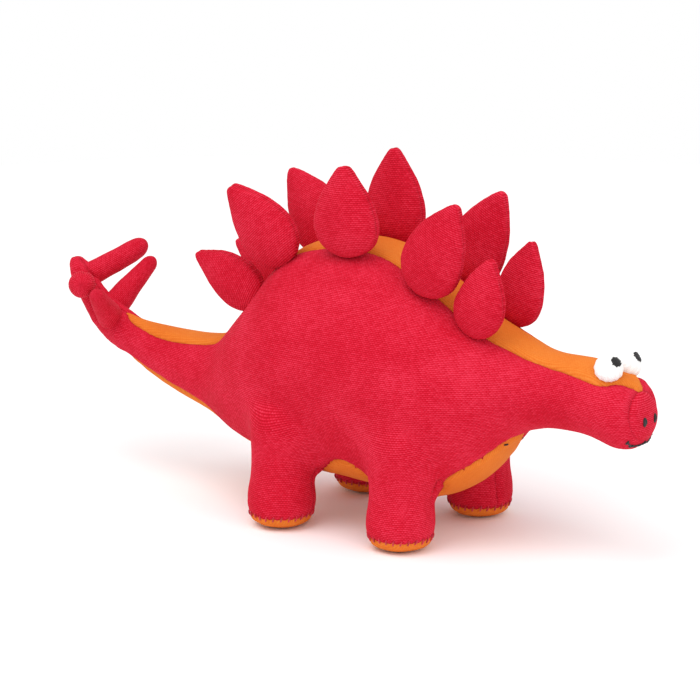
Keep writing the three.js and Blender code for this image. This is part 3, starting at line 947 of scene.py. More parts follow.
    def draw_in_seams(self, piece: bpy.types.Object, region: Array) -> None:
        """Sinks the cloth along every sewn line, as thread pulls it in."""
        points = points_of(piece.data)
        merged = region.copy()
        for rear in (Region.RIGHT_REAR, Region.LEFT_REAR, Region.BACK_REAR):
            merged[merged == rear.value + 1] = rear.value
        away = distance_to_lines(points, seam_edges(piece.data, merged), 6.0)
        pucker = 1 + 0.3 * lumps(points, 3.2, 5.5)
        sink = self.seam_depth * np.exp(-((away / self.seam_width) ** 2)) * pucker
        swell = 0.35 * np.exp(-(((away - 4.0) / 2.0) ** 2))
        shallow = np.where(points[:, 2] < 12, 0.55, 1.0)
        shallow *= 1 - 0.8 * smoothstep(160, 166, points[:, 0]) * smoothstep(84, 72, points[:, 2])
        raise_points(piece, (swell - sink) * shallow)
        self.stand(piece)

    def side_lay(self, points: Array) -> Array:
        """Lays the jersey on the side panels.

        Args:
            points: Points on the cover, in millimetres.

        Returns:
            Distances along and across the knitted rows, in millimetres.
        """
        near = self.trunk.nearest(points)
        level = self.trunk.centre[near, 2]
        width, height = self.trunk.width[near], self.trunk.height[near]
        climb = (points[:, 2] - level) / height.clip(3)
        turn = np.arctan2(climb, np.abs(points[:, 1]) / width.clip(3))
        lay = np.stack([points[:, 0], level + turn * (width + height) / 2, 0 * turn], 1)
        number = self.leg_number(points)
        for i, leg in enumerate(self.legs):
            mine = number == i
            off = points[mine] - [leg.x, leg.y, 0]
            turn = np.arctan2(off[:, 0], leg.side * off[:, 1])
            on_leg = np.stack([leg.x + turn * leg.radius, points[mine][:, 2], 0 * turn], 1)
            share = smoothstep(52, 36, points[mine][:, 2])
            share *= smoothstep(leg.radius + 9, leg.radius + 3, np.hypot(off[:, 0], off[:, 1]))
            lay[mine] += (on_leg - lay[mine]) * share[:, None]
        return lay

    def lay(self, panel: Panel, points: Array) -> Array:
        """Lays the jersey on one panel and returns the along and across distances."""
        if panel.lay is Lay.SIDE:
            return self.side_lay(points)
        if panel.lay is Lay.MUZZLE:
            return points[:, [1, 2, 0]] * [1, 1, 0]
        return points * [1, 1.1, 0]


class Region(Enum):
    """Numbers of the cover's cut regions; a front half follows its rear half."""

    RIGHT_REAR = 0
    LEFT_REAR = 2
    BACK_REAR = 4
    BELLY = 6
    MUZZLE = 7
    INNER_LEG = 8
    SOLE = 12


def seam_edges(mesh: bpy.types.Mesh, region: Array) -> Array:
    """Finds the sewn lines of a cut triangle mesh.

    Args:
        mesh: The mesh.
        region: Each face's region number.

    Returns:
        The ends of each edge between two regions, in millimetres, as pairs of rows.
    """
    corners = corners_of(mesh, "edge_index").ravel()
    low = np.full(len(mesh.edges), 10_000)
    high = np.full(len(mesh.edges), -1)
    owner = np.repeat(region, 3)
    np.minimum.at(low, corners, owner)
    np.maximum.at(high, corners, owner)
    sewn = edges_of(mesh)[low != high]
    return points_of(mesh)[sewn]


def distance_to_lines(points: Array, lines: Array, reach: float) -> Array:
    """Distance from each point to the nearest of many short lines, up to reach."""
    parts = [lines[:, 0] + (lines[:, 1] - lines[:, 0]) * share for share in (0, 0.25, 0.5, 0.75)]
    dense = np.concatenate(parts)
    tree = kdtree.KDTree(len(dense))
    for i, p in enumerate(dense):
        tree.insert(p, i)
    tree.balance()
    found = np.full(len(points), reach)
    low, high = dense.min(0) - reach, dense.max(0) + reach
    close = ((points > low) & (points < high)).all(1)
    for i in np.nonzero(close)[0]:
        found[i] = min(tree.find(points[i])[2], reach)
    return found


def write_lay(mesh: bpy.types.Mesh, lay: Array) -> None:
    """Stores the cloth's along and across distances on a mesh, as its knit attribute."""
    attribute = mesh.attributes.new("knit", "FLOAT_VECTOR", "POINT")
    attribute.data.foreach_set("vector", lay.astype(np.float32).ravel())


def cut_out(
    source: bpy.types.Object, region: Array, number: int, name: str, cloth: float
) -> bpy.types.Object:
    """Cuts one region out of a cover and gives the cloth its thickness.

    Args:
        source: The whole cover, in triangles.
        region: Each face's region number.
        number: The region to keep.
        name: The new piece's name.
        cloth: The cloth's thickness, in millimetres.

    Returns:
        The panel as a closed piece.
    """
    bm = bmesh.new()
    bm.from_mesh(source.data)
    bm.faces.ensure_lookup_table()
    other = [bm.faces[i] for i in np.nonzero(region != number)[0]]
    bmesh.ops.delete(bm, geom=other, context="FACES")
    piece = make_object(name, mesh_of(bm, name))
    modifier = piece.modifiers.new("cloth", "SOLIDIFY")
    modifier.thickness = cloth * MM
    modifier.offset = -1
    modifier.use_even_offset = False
    return applied(piece)


def finish(piece: bpy.types.Object, material: bpy.types.Material, slot: str) -> bpy.types.Object:
    """Dresses a piece in one material."""
    piece.data.materials.clear()
    piece.data.materials.append(material)
    return piece


class Wardrobe:
    """The built materials, made once each."""

    def __init__(self) -> None:
        """Starts with no material built."""
        self.built: dict[str, bpy.types.Material] = {}

    def get(self, kind: KnitCloth | Thread) -> bpy.types.Material:
        """Returns the material of a finish, building it the first time."""
        if kind.name not in self.built:
            self.built[kind.name] = kind.build()
        return self.built[kind.name]


def cover_panels(legs: list[Leg]) -> list[Panel]:
    """Lists the cover's panels in cutting order."""
    red, orange = (RED_JERSEY, "red_cloth"), (ORANGE_JERSEY, "orange_cloth")
    back = Region.BACK_REAR.value
    panels = []
    for side, number in (("right", Region.RIGHT_REAR.value), ("left", Region.LEFT_REAR.value)):
        front = (f"torso_side_{side}", f"head_side_{side}")
        panels += [
            Panel(f"side_panel_{side}_rear", number, *red, "torso", "tail", (f"tail_side_{side}",)),
            Panel(f"side_panel_{side}_front", number + 1, *red, "torso", "head", front),
        ]
    panels += [
        Panel("back_gusset_rear", back, *orange, "torso", "tail",
              ("back_gusset_tail", "tail_stuffing"), Lay.GUSSET),
        Panel("back_gusset_front", back + 1, *orange, "torso", "head",
              ("back_gusset_torso", "back_gusset_neck", "torso_stuffing"), Lay.GUSSET),
        Panel("belly_gusset", Region.BELLY.value, *orange, "torso", "tail",
              ("belly_gusset_torso", "belly_gusset_tail"), Lay.GUSSET),
        Panel("muzzle_panel_cloth", Region.MUZZLE.value, *red, "head", None,
              ("muzzle_panel", "head_stuffing"), Lay.MUZZLE),
    ]
    for i, leg in enumerate(legs):
        panels += [
            Panel(f"inner_leg_panel_{leg.name}", Region.INNER_LEG.value + i, *red, "torso", None,
                  (f"inner_leg_{leg.name}", f"leg_stuffing_{leg.name}")),
            Panel(f"sole_pad_{leg.name}", Region.SOLE.value + i, *orange, "torso", None,
                  (f"sole_{leg.name}",), Lay.GUSSET),
        ]
    return panels


def build_cover(cover: Cover, wardrobe: Wardrobe) -> bpy.types.Object:
    """Builds, cuts and dresses the body cover.

    Args:
        cover: The cover's sizes.
        wardrobe: The built materials.

    Returns:
        The whole uncut surface, for placing the face and stitches; it is removed later.
    """
    whole = cover.shape()
    region = cover.cut(whole)
    cover.draw_in_seams(whole, region)
    points, normals = points_of(whole.data), normals_of(whole.data)
    on_split = np.nonzero(np.abs(points[:, 0] - cover.halves_x) < ON_LINE)[0]
    split = kdtree.KDTree(len(on_split))
    for i in on_split:
        split.insert(points[i] * MM, int(i))
    split.balance()
    for panel in cover_panels(cover.legs):
        piece = cut_out(whole, region, panel.region, panel.name, cover.cloth)
        write_lay(piece.data, cover.lay(panel, points_of(piece.data)))
        if panel.bends_to and panel.name != "belly_gusset":
            match_split(piece, split, normals, cover.halves_x)
        finish(piece, wardrobe.get(panel.finish), panel.slot)
        if panel.bends_to:
            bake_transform(piece)
        else:
            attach(piece, panel.body)
        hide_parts(*panel.replaces)
        LOG.info("%s: %d faces", panel.name, len(piece.data.polygons))
    return whole


def match_split(piece: bpy.types.Object, split: kdtree.KDTree, normals: Array, x: float) -> None:
    """Keeps the whole cover's shading where a panel is divided away from a seam.

    Args:
        piece: The panel.
        split: The whole cover's points on the dividing line, in metres.
        normals: The whole cover's point normals.
        x: Where the panel is divided, in millimetres.
    """
    mesh = piece.data
    points = points_of(mesh)
    wanted = np.zeros((len(mesh.loops), 3), np.float32)
    edge = set(np.nonzero(np.abs(points[:, 0] - x) < ON_LINE)[0].tolist())
    for face in mesh.polygons:
        for loop, vertex in zip(face.loop_indices, face.vertices):
            if vertex not in edge:
                continue
            found = split.find(mesh.vertices[vertex].co)
            if found[2] < 1e-5 and face.normal.dot(Vector(normals[found[1]])) > 0.5:
                wanted[loop] = normals[found[1]]
    mesh.normals_split_custom_set(wanted.tolist())


# ---------------------------------------------------------------- plates and spikes


def placed(base: Vector, axis: Vector, outward: Vector) -> Matrix:
    """Makes the place of a sewn-on part: x along its seam, z outwards from the body."""
    z = outward.normalized()
    x = (axis - z * axis.dot(z)).normalized()
    turn = Matrix((x, z.cross(x), z)).transposed()
    return Matrix.Translation(base) @ turn.to_4x4()


def far_point(node: str, base: Vector) -> Vector:
    """The point of a CAD node that lies furthest from its base."""
    points = [v.co for v in frame["nodes"][node].data.vertices]
    return max(points, key=lambda p: (p - base).length).copy()


def middle_of(node: str) -> Vector:
    """The mean of a CAD node's points, which lies on the axis of a round piece."""
    points = [v.co for v in frame["nodes"][node].data.vertices]
    return sum(points, Vector()) / len(points)


def joint_of(body: str) -> dict:
    """The joint that carries a body."""
    return next(j for j in frame["joints"] if j["child"] == body)


@dataclass
class Plate:
    """One stuffed back plate: two leaf-shaped panels seamed round the edge. Sizes in millimetres."""

    name: str
    side: str
    width: float
    sunk: float
    reach: float
    thickness: float = 0.50
    voxel: float = 2.2
    seam_depth: float = 0.55
    seam_width: float = 0.9
    cloth: float = 0.8
    sides: int = 40
    rings: int = 26
    outline: tuple = (
        (0, 0.12), (0.03, 0.42), (0.10, 0.74), (0.19, 0.92), (0.30, 1.0), (0.41, 0.99), (0.55, 0.89),
        (0.68, 0.75), (0.82, 0.50), (0.91, 0.30), (0.965, 0.19), (0.99, 0.11), (1, 0.04),
    )

    @property
    def body(self) -> str:
        """The CAD body that the plate rides on."""
        return f"plate_{self.name}_{self.side}"

    def leaf_share(self, height: float) -> float:
        """Half width as a share of the widest, at a height from 0 at the base to 1 at the tip."""
        heights, shares = zip(*self.outline)
        return float(np.interp(height, heights, shares))

    def blank(self, length: float) -> bpy.types.Object:
        """Lofts the unstuffed plate, standing on its base at the origin."""
        bm = bmesh.new()

        def place(i: int, turn: float) -> tuple[float, float, float]:
            """A corner's place, in millimetres."""
            height = (1 - math.cos(math.pi * (i + 1) / self.rings)) / 2
            wide = self.leaf_share(height) * self.width / 2
            deep = wide * (self.thickness + 0.45 * smoothstep(0.8, 1.0, height))
            return math.cos(turn) * wide, math.sin(turn) * deep, height * length - self.sunk

        loft(bm, self.sides, self.rings - 1, place)
        bmesh.ops.recalc_face_normals(bm, faces=bm.faces)
        return remeshed(make_object("plate_blank", mesh_of(bm, "plate_blank")), self.voxel)

    def sewn(self, length: float, seed: float) -> tuple[bpy.types.Object, Array]:
        """Makes the stuffed plate, drawn in along the seam round its edge.

        Args:
            length: Its length, with the part inside the seam, in millimetres.
            seed: Tells its lumps from those of the other plates.

        Returns:
            The plate, in triangles, and each face's side of the seam, 0 or 1.
        """
        piece = triangulated(subdivided(self.blank(length), 2))
        mesh = piece.data
        raise_points(piece, 0.4 * lumps(points_of(mesh), 14, seed))
        points = points_of(mesh)
        bow = 0.5 * np.sin(points[:, 2] / 17 + seed)
        everywhere = np.ones(len(points), bool)
        rim = snap_to_line(points, edges_of(mesh), points[:, 1] - bow, everywhere)
        set_points(mesh, points)
        region = (rim[corners_of(mesh)].sum(1) > 0).astype(int)
        away = distance_to_lines(points, seam_edges(mesh, region), 5.0)
        sink = self.seam_depth * np.exp(-((away / self.seam_width) ** 2))
        swell = 0.25 * np.exp(-(((away - 2.6) / 1.4) ** 2))
        raise_points(piece, swell - sink * (1 + 0.25 * lumps(points, 2.6, seed)))
        return piece, region

    def build(self, wardrobe: Wardrobe) -> None:
        """Builds the plate's two leaves, dresses them and hands them to their body."""
        joint = joint_of(self.body)
        base = Vector(joint["pos_m"])
        tip = far_point(f"plate_cover_{self.name}_{self.side}", base)
        length = (tip - base).length / MM + self.sunk + self.reach
        seed = 20.0 + 7.3 * base.x / MM + (3.7 if self.side == "left" else 0)
        piece, region = self.sewn(length, seed)
        place = placed(base, Vector(joint["axis"]), tip - base)
        facing = int((place.to_3x3() @ Vector((0, 1, 0))).y * SIDES[self.side] > 0)
        for leaf, number, part in (("outer", facing, "cover"), ("inner", 1 - facing, "stuffing")):
            panel = cut_out(piece, region, number, f"{self.body}_{leaf}_leaf", self.cloth)
            write_lay(panel.data, points_of(panel.data)[:, [0, 2, 1]] * [1, 1, 0])
            panel.data.transform(place)
            finish(panel, wardrobe.get(PLATE_JERSEY), "plate_cloth")
            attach(panel, self.body)
            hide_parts(f"plate_{part}_{self.name}_{self.side}")
        LOG.info("plate %s %s: %.0f mm long", self.name, self.side, length)
        bpy.data.objects.remove(piece)


@dataclass
class Spike:
    """One stuffed tail spike: a rolled tube with one seam and a gathered, rounded end.

    Sizes are in millimetres and turns in radians.
    """

    name: str
    side: str
    base_radius: float
    tip_radius: float
    sunk: float = 5.0
    gathers: int = 2
    gather_depth: float = 0.10
    seam_at: float = 2.2
    seam_depth: float = 0.75
    seam_width: float = 0.8
    rings: int = 26
    sides: int = 48

    @property
    def body(self) -> str:
        """The CAD body that the spike rides on."""
        return f"spike_{self.name}_{self.side}"

    def blank(self, total: float) -> bpy.types.Object:
        """Lofts the tube, total millimetres long and standing on its base at the origin."""
        bm = bmesh.new()
        cap = self.tip_radius * 1.15

        def place(i: int, turn: float) -> tuple[float, float, float]:
            """A corner's place, in millimetres."""
            up = total * math.sin(i / self.rings * math.pi / 2) ** 0.9
            left = total - up
            radius = self.base_radius + (self.tip_radius - self.base_radius) * up / total
            dome = math.sqrt(max(1 - max(1 - left / cap, 0) ** 2, 0.0025))
            gather = max(1 - left / (cap * 1.6), 0) * self.gather_depth
            fold = 1 - gather * (0.5 + 0.5 * math.cos(self.gathers * turn))
            from_seam = math.remainder(turn - self.seam_at, 2 * math.pi) * radius / self.seam_width
            seam = self.seam_depth * math.exp(-(from_seam**2)) * (left > 1)
            out = (radius - seam) * dome * fold
            return out * math.cos(turn), out * math.sin(turn), up - self.sunk

        loft(bm, self.sides, self.rings + 1, place)
        bmesh.ops.recalc_face_normals(bm, faces=bm.faces)
        return subdivided(make_object(f"{self.body}_tube", mesh_of(bm, self.body)), 1)

    def build(self, wardrobe: Wardrobe) -> None:
        """Builds the spike, dresses it and hands it to its body."""
        joint = joint_of(self.body)
        base = Vector(joint["pos_m"])
        outward = middle_of(self.body) - base
        length = (far_point(self.body, base) - base).dot(outward.normalized()) / MM
        piece = self.blank(length + self.sunk)
        seed = base.x / MM + SIDES[self.side]
        raise_points(piece, 0.45 * lumps(points_of(piece.data), 9, seed))
        points = points_of(piece.data)
        turn = np.arctan2(points[:, 1], points[:, 0]) * self.base_radius
        write_lay(piece.data, np.stack([points[:, 2], turn, 0 * turn], 1))
        piece.data.transform(placed(base, Vector(joint["axis"]), outward))
        finish(piece, wardrobe.get(PLATE_JERSEY), "plate_cloth")
        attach(piece, self.body)
        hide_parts(self.body)
        LOG.info("spike %s %s: %.0f mm long", self.name, self.side, length)


# ---------------------------------------------------------------- thread work


@dataclass
class Stitch:
    """One short stitch of thread between two points on the cloth, in metres."""

    start: Vector
    end: Vector
    out: Vector


def stitches_piece(
    name: str, stitches: list[Stitch], thread: float, lift: float = 0.35
) -> bpy.types.Object:
    """Joins stitches into one piece: each is a thread that arches a little off the cloth.

    Args:
        name: The piece's name.
        stitches: Where each stitch lies.
        thread: The thread's radius, in millimetres.
        lift: How far the middle of a stitch stands off, in thread radii.

    Returns:
        The piece.
    """
    bm = bmesh.new()
    for stitch in stitches:
        run = stitch.end - stitch.start
        made = bmesh.ops.create_uvsphere(bm, u_segments=8, v_segments=7, radius=1)["verts"]
        z = run.normalized()
        x = (stitch.out - z * stitch.out.dot(z)).normalized()
        turn = Matrix((x, z.cross(x), z)).transposed()
        half = run.length / 2 + thread * MM * 0.6
        for v in made:
            part = v.co.z
            girth = thread * MM / max(math.sqrt(max(1 - part * part, 1e-4)), 0.2)
            full = min(1.0, math.sqrt(max(1 - part**4, 0)) * 1.02)
            arch = thread * MM * lift * (1 - part * part)
            local = Vector((v.co.x * girth * full + arch, v.co.y * girth * full, part * half))
            v.co = (stitch.start + stitch.end) / 2 + turn @ local
    bmesh.ops.recalc_face_normals(bm, faces=bm.faces)
    return make_object(name, mesh_of(bm, name))


def embroider(piece: bpy.types.Object, thread: bpy.types.Material, replaced: str) -> None:
    """Dresses a piece of black thread work on the head and hides the CAD node it replaces."""
    finish(piece, thread, "black_thread")
    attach(piece, "head")
    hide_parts(replaced)


class Skin:
    """The finished cover's surface, for placing things on it."""

    def __init__(self, piece: bpy.types.Object) -> None:
        """Reads the surface of a piece."""
        graph = bpy.context.evaluated_depsgraph_get()
        self.tree = BVHTree.FromObject(piece, graph)

    def at(self, point: tuple[float, float, float], lift: float = 0.0) -> tuple[Vector, Vector]:
        """Finds the nearest surface point.

        Args:
            point: A point near the surface, in millimetres.
            lift: How far off the surface the answer lies, in millimetres.

        Returns:
            The point, in metres, and the outward direction.
        """
        found, normal = self.tree.find_nearest(Vector(point) * MM)[:2]
        return found + normal * lift * MM, normal


@dataclass
class Face:
    """Embroidered eyes, pupils, nostrils and smile.

    Sizes are in millimetres. Places are measured like the trunk's stations, without its shift.
    """

    skin: Skin
    shift: float
    eyes_at: dict[str, tuple[float, float, float]] = field(
        default_factory=lambda: {"right": (138.0, -9.5, 102.9), "left": (138.6, 9.0, 101.2)}
    )
    eye_facing: tuple[float, float, float] = (0.30, 0.60, 0.74)
    eye_radius: float = 7.0
    eye_height: float = 6.6
    eye_sunk: float = 2.2
    pupil_towards: tuple[float, float, float] = (0.74, 0.21, 0.62)
    pupil_radius: float = 2.6
    pupil_rows: int = 7
    nostril_at: tuple[float, float, float] = (158.5, 5.2, 76.6)
    nostril_size: tuple[float, float] = (2.5, 4.8)
    smile: tuple = (
        (149.6, -10.8, 67.8), (150.6, -8.4, 64.6), (152.6, -5.4, 63.6), (154.2, -2.4, 63.2),
        (154.8, 0.4, 63.0), (154.6, 3.2, 62.6), (153.2, 6.2, 62.6), (151.2, 8.8, 63.8),
        (149.6, 10.6, 66.4),
    )
    ticks_at: tuple = (0, 1, 4, 7, 8)
    tick_reach: float = 1.1

    def shifted(self, point: tuple[float, float, float]) -> tuple[float, float, float]:
        """Moves a place from the trunk's own measure into the frame, in millimetres."""
        return (point[0] + self.shift, point[1], point[2])

    def eye_place(self, name: str) -> Matrix:
        """The place of an eye: x forwards along the head, z outwards."""
        x, y, z = self.eye_facing
        outward = Vector((x, SIDES[name] * y, z)).normalized()
        middle = Vector(self.shifted(self.eyes_at[name])) - outward * self.eye_sunk
        return placed(middle * MM, Vector((1, 0, -0.12)), outward)

    def build_eyes(self, wardrobe: Wardrobe) -> None:
        """Builds each eye as a padded white dome, puckered where it is sewn down, with its pupil."""
        for name in SIDES:
            place = self.eye_place(name)
            bm = bmesh.new()
            made = bmesh.ops.create_uvsphere(bm, u_segments=72, v_segments=36, radius=1)["verts"]
            for v in made:
                turn = math.atan2(v.co.y, v.co.x)
                low = float(smoothstep(0.75, 0.15, np.array(v.co.z)))
                edge = self.eye_radius * (1 + 0.022 * low * math.cos(14 * turn))
                v.co = (v.co.x * edge * MM, v.co.y * edge * MM, v.co.z * self.eye_height * MM)
            eye = make_object(f"eye_dome_{name}", mesh_of(bm, "eye"))
            raise_points(eye, 0.22 * lumps(points_of(eye.data), 3.6, 4.4 + SIDES[name]))
            write_lay(eye.data, points_of(eye.data) * [1, 1, 0])
            eye.data.transform(place)
            finish(eye, wardrobe.get(WHITE_STITCHING), "eye_cloth")
            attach(eye, "head")
            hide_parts(f"eye_{name}")
            self.build_pupil(name, place, wardrobe)

    def build_pupil(self, name: str, place: Matrix, wardrobe: Wardrobe) -> None:
        """Builds a pupil as close satin stitches lying over the eye's dome."""
        x, y, z = self.pupil_towards
        towards = (place.to_3x3().inverted() @ Vector((x, SIDES[name] * y, z))).normalized()
        middle = self.on_dome(towards)
        wide, tall = self.eye_radius**2, self.eye_height**2
        out = Vector((middle.x / wide, middle.y / wide, middle.z / tall)).normalized()
        across = out.cross(Vector((0, 1, 0))).normalized()
        along = across.cross(out)
        stitches = []
        for i in range(self.pupil_rows):
            shift = (i / (self.pupil_rows - 1) * 2 - 1) * self.pupil_radius * 0.88
            half = math.sqrt(self.pupil_radius**2 - shift**2)
            half *= 1 + 0.16 * math.sin(2.3 * i + SIDES[name])
            ends = [self.on_dome(middle + across * shift + along * half * s) * MM for s in (-1, 1)]
            stitches.append(Stitch(place @ ends[0], place @ ends[1], place.to_3x3() @ out))
        piece = stitches_piece(f"pupil_stitching_{name}", stitches, 0.55, lift=1.2)
        embroider(piece, wardrobe.get(BLACK_THREAD), f"pupil_{name}")

    def on_dome(self, point: Vector) -> Vector:
        """Draws a point straight out or in onto the eye's dome, in millimetres."""
        flat = (point.x**2 + point.y**2) / self.eye_radius**2
        return point / math.sqrt(flat + point.z**2 / self.eye_height**2)

    def build_nostrils(self, wardrobe: Wardrobe) -> None:
        """Builds each nostril as a few upright satin stitches."""
        x, y, z = self.nostril_at
        wide, tall = self.nostril_size
        for name, side in SIDES.items():
            stitches = []
            for i in range(4):
                off = (i - 1.5) / 1.5
                reach = tall / 2 * math.sqrt(1 - 0.55 * off * off)
                column = side * (y + off * wide * 0.36)
                top, out = self.skin.at(self.shifted((x, column, z + reach)), 0.1)
                bottom, _ = self.skin.at(self.shifted((x, column, z - reach)), 0.1)
                stitches.append(Stitch(bottom, top, out))
            piece = stitches_piece(f"nostril_stitching_{name}", stitches, 0.48, lift=0.8)
            embroider(piece, wardrobe.get(BLACK_THREAD), f"nostril_{name}")

    def build_smile(self, wardrobe: Wardrobe) -> None:
        """Builds the smile from back stitches, crossed by short ticks at its corners and middle."""
        found = [self.skin.at(self.shifted(place), 0.15) for place in self.smile]
        stitches = [Stitch(a[0], b[0], (a[1] + b[1]) / 2) for a, b in zip(found[:-1], found[1:])]
        for i in self.ticks_at:
            point, out = found[i]
            along = (found[min(i + 1, len(found) - 1)][0] - found[max(i - 1, 0)][0]).normalized()
            across = out.cross(along).normalized()
            lean = along * (0.5 if i % 2 else -0.5)
            tick = (across + lean).normalized() * self.tick_reach * MM
            stitches.append(Stitch(point - tick, point + tick, out))
        piece = stitches_piece("smile_stitching", stitches, 0.5, lift=0.5)
        embroider(piece, wardrobe.get(BLACK_THREAD), "mouth_stitching")


def sew_soles(cover: Cover, skin: Skin, wardrobe: Wardrobe) -> None:
    """Whip-stitches each sole to its leg, with one slanting stitch in every notch of its edge."""
    slant, above, below = 0.02, 0.9, 1.3
    for leg in cover.legs:
        reach = leg.radius + 1
        stitches = []
        for i in range(cover.scallops):
            turn = 2 * math.pi * i / cover.scallops
            ends = []
            for spot, level in (
                (turn + slant, cover.sole_seam + above), (turn - slant, cover.sole_seam - below),
            ):
                x, y = leg.x + math.cos(spot) * reach, leg.y + math.sin(spot) * reach
                ends.append(skin.at((x, y, level), 0.1)[0])
            stitches.append(Stitch(ends[0], ends[1], Vector((math.cos(turn), math.sin(turn), 0))))
        piece = stitches_piece(f"sole_whip_stitches_{leg.name}", stitches, 0.42, lift=0.7)
        finish(piece, wardrobe.get(RED_THREAD), "red_cloth")
        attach(piece, "torso")


def close_belly(cover: Cover, skin: Skin, wardrobe: Wardrobe) -> None:
    """Ends the belly seam at the chest with one small dark knot on each side."""
    for name, side in SIDES.items():
        x = cover.trunk.shift + cover.belly_knot_x
        near = cover.trunk.nearest(np.array([[x, 0, 0]]))[0]
        level = cover.trunk.centre[near, 2] - cover.trunk.height[near]
        wide = float(cover.seam_width_at(cover.belly_seam, np.array([x]))[0])
        here, out = skin.at((x, side * (wide + 0.8), level), 0.1)
        there, _ = skin.at((x + 0.8, side * (wide - 0.8), level), 0.1)
        piece = stitches_piece(f"closing_knot_{name}", [Stitch(here, there, out)], 0.45)
        finish(piece, wardrobe.get(DARK_THREAD), "black_thread")
        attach(piece, "torso")


# ---------------------------------------------------------------- camera, light and floor


@dataclass
class Softbox:
    """One square light. Angles in degrees, distances in metres, power in watts."""

    name: str
    azimuth: float
    elevation: float
    away: float
    size: float
    watts: float


@dataclass
class Studio:
    """A pale floor, soft light and one long-lens camera. Distances in metres, angles in degrees."""

    azimuth: float = 35.0
    elevation: float = 15.0
    distance: float = 2.0
    lens: float = 205.7
    target: tuple[float, float, float] = (0.0004, 0.0, 0.0843)
    room_light: float = 0.86
    floor_radius: float = 0.85
    softboxes: tuple[Softbox, ...] = (
        Softbox("key_softbox", -15, 65, 1.6, 1.1, 10),
        Softbox("front_softbox", 65, 40, 1.8, 1.2, 6.5),
    )

    def direction(self, azimuth: float, elevation: float) -> Vector:
        """The direction from the object towards a place round it."""
        a, e = math.radians(azimuth), math.radians(elevation)
        return Vector((math.sin(a) * math.cos(e), -math.cos(a) * math.cos(e), math.sin(e)))

    def set_camera(self) -> None:
        """Makes the camera and gives it to the scene."""
        camera = bpy.data.objects.new("camera", bpy.data.cameras.new("camera"))
        bpy.context.scene.collection.objects.link(camera)
        camera.data.lens = self.lens
        camera.data.sensor_width = 36
        camera.data.clip_end = 50
        back = self.direction(self.azimuth, self.elevation)
        camera.location = Vector(self.target) + back * self.distance
        camera.rotation_euler = back.to_track_quat("Z", "Y").to_euler()
        bpy.context.scene.camera = camera

    def add_softbox(self, box: Softbox) -> None:
        """Adds a softbox that faces the object."""
        light = bpy.data.lights.new(box.name, "AREA")
        light.energy = box.watts
        light.size = box.size
        lamp = bpy.data.objects.new(box.name, light)
        bpy.context.scene.collection.objects.link(lamp)
        back = self.direction(box.azimuth, box.elevation)
        lamp.location = back * box.away
        lamp.rotation_euler = back.to_track_quat("Z", "Y").to_euler()

    def build(self) -> None:
        """Builds the floor, the lights and the surrounding light."""
        bm = bmesh.new()
        bmesh.ops.create_circle(bm, cap_ends=True, segments=64, radius=self.floor_radius)
        floor = make_object("studio_floor", mesh_of(bm, "studio_floor"))
        paper = new_material("matt_white_paper", Base_Color=linear("ffffff"), Roughness=0.9)[0]
        floor.data.materials.append(paper)
        floor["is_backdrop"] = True
        world = bpy.data.worlds.new("white_room")
        world.use_nodes = True
        background = world.node_tree.nodes["Background"]
        seen = add_node(world.node_tree, "ShaderNodeLightPath").outputs["Is Camera Ray"]
        dimmed = self.room_light
        strength = add_node(
            world.node_tree, MATH, {"operation": "MULTIPLY_ADD"}, i0=seen, i1=1 - dimmed, i2=dimmed
        ).outputs[0]
        background.inputs["Color"].default_value = (1, 1, 1, 1)
        world.node_tree.links.new(strength, background.inputs["Strength"])
        bpy.context.scene.world = world
        for box in self.softboxes:
            self.add_softbox(box)
        bpy.context.scene.view_settings.view_transform = "Standard"


# ---------------------------------------------------------------- the whole toy


def read_legs(trunk: Trunk) -> list[Leg]:
    """Reads the legs' places from their CAD soles."""
    legs = []
    for name in ("hind_right", "hind_left", "front_right", "front_left"):
        low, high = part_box(f"sole_{name}")
        middle = (low + high) / 2 / MM
        legs.append(Leg(name, middle.x, middle.y, -1 if middle.y < 0 else 1))
    return legs


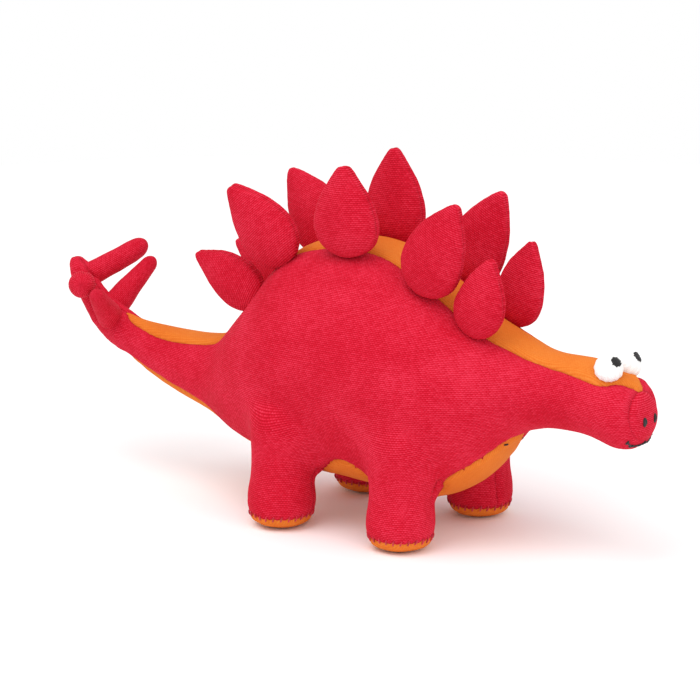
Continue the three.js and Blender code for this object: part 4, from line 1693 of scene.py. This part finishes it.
# Each plate's width, how deep it sits in its seam and how far it reaches past its CAD tip, in
# millimetres. They are cut alike and stuffed by hand, so no two are quite the same.
PLATE_SIZES = {
    "right": {
        "rear": (27.5, 6.5, -1.0), "haunch": (35.5, 4.0, -1.0), "middle": (37.0, 3.0, 0.5),
        "shoulder": (34.5, 3.0, 1.5), "neck": (28.0, 3.5, 0.0),
    },
    "left": {
        "rear": (26.0, 6.0, -1.0), "haunch": (33.0, 6.0, -1.5), "middle": (34.5, 6.0, 2.0),
        "shoulder": (33.0, 6.0, 0.5), "neck": (27.0, 6.0, 2.5),
    },
}
# Radii of each spike at its base and tip, in millimetres: each is stuffed by hand.
SPIKE_RADII = {
    ("inner", "right"): (7.2, 3.6), ("inner", "left"): (7.4, 3.8),
    ("outer", "right"): (5.6, 7.5), ("outer", "left"): (6.3, 5.5),
}


def main() -> None:
    """Builds the toy in making order and reports each piece."""
    logging.basicConfig(level=logging.INFO, format="%(message)s")
    studio = Studio()
    studio.set_camera()
    studio.build()
    wardrobe = Wardrobe()
    trunk = Trunk()
    neck = Vector(joint_of("head")["pos_m"]).x / MM
    tail = Vector(joint_of("tail")["pos_m"]).x / MM
    bends = {"head": Bend("head", neck - 12, neck + 14), "tail": Bend("tail", tail + 15, tail - 23)}
    cover = Cover(trunk, read_legs(trunk), bends=bends)
    whole = build_cover(cover, wardrobe)
    skin = Skin(whole)
    face = Face(skin, trunk.shift)
    face.build_eyes(wardrobe)
    face.build_nostrils(wardrobe)
    face.build_smile(wardrobe)
    sew_soles(cover, skin, wardrobe)
    close_belly(cover, skin, wardrobe)
    bpy.data.objects.remove(whole)
    for side in SIDES:
        for name, sizes in PLATE_SIZES[side].items():
            Plate(name, side, *sizes).build(wardrobe)
    for (name, side), (base_radius, tip_radius) in SPIKE_RADII.items():
        Spike(name, side, base_radius, tip_radius).build(wardrobe)
    sizes = {"cad": [list(corner) for corner in CAD_BOX], "visual": [list(corner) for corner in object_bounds()]}


if __name__ == "__main__":
    main()
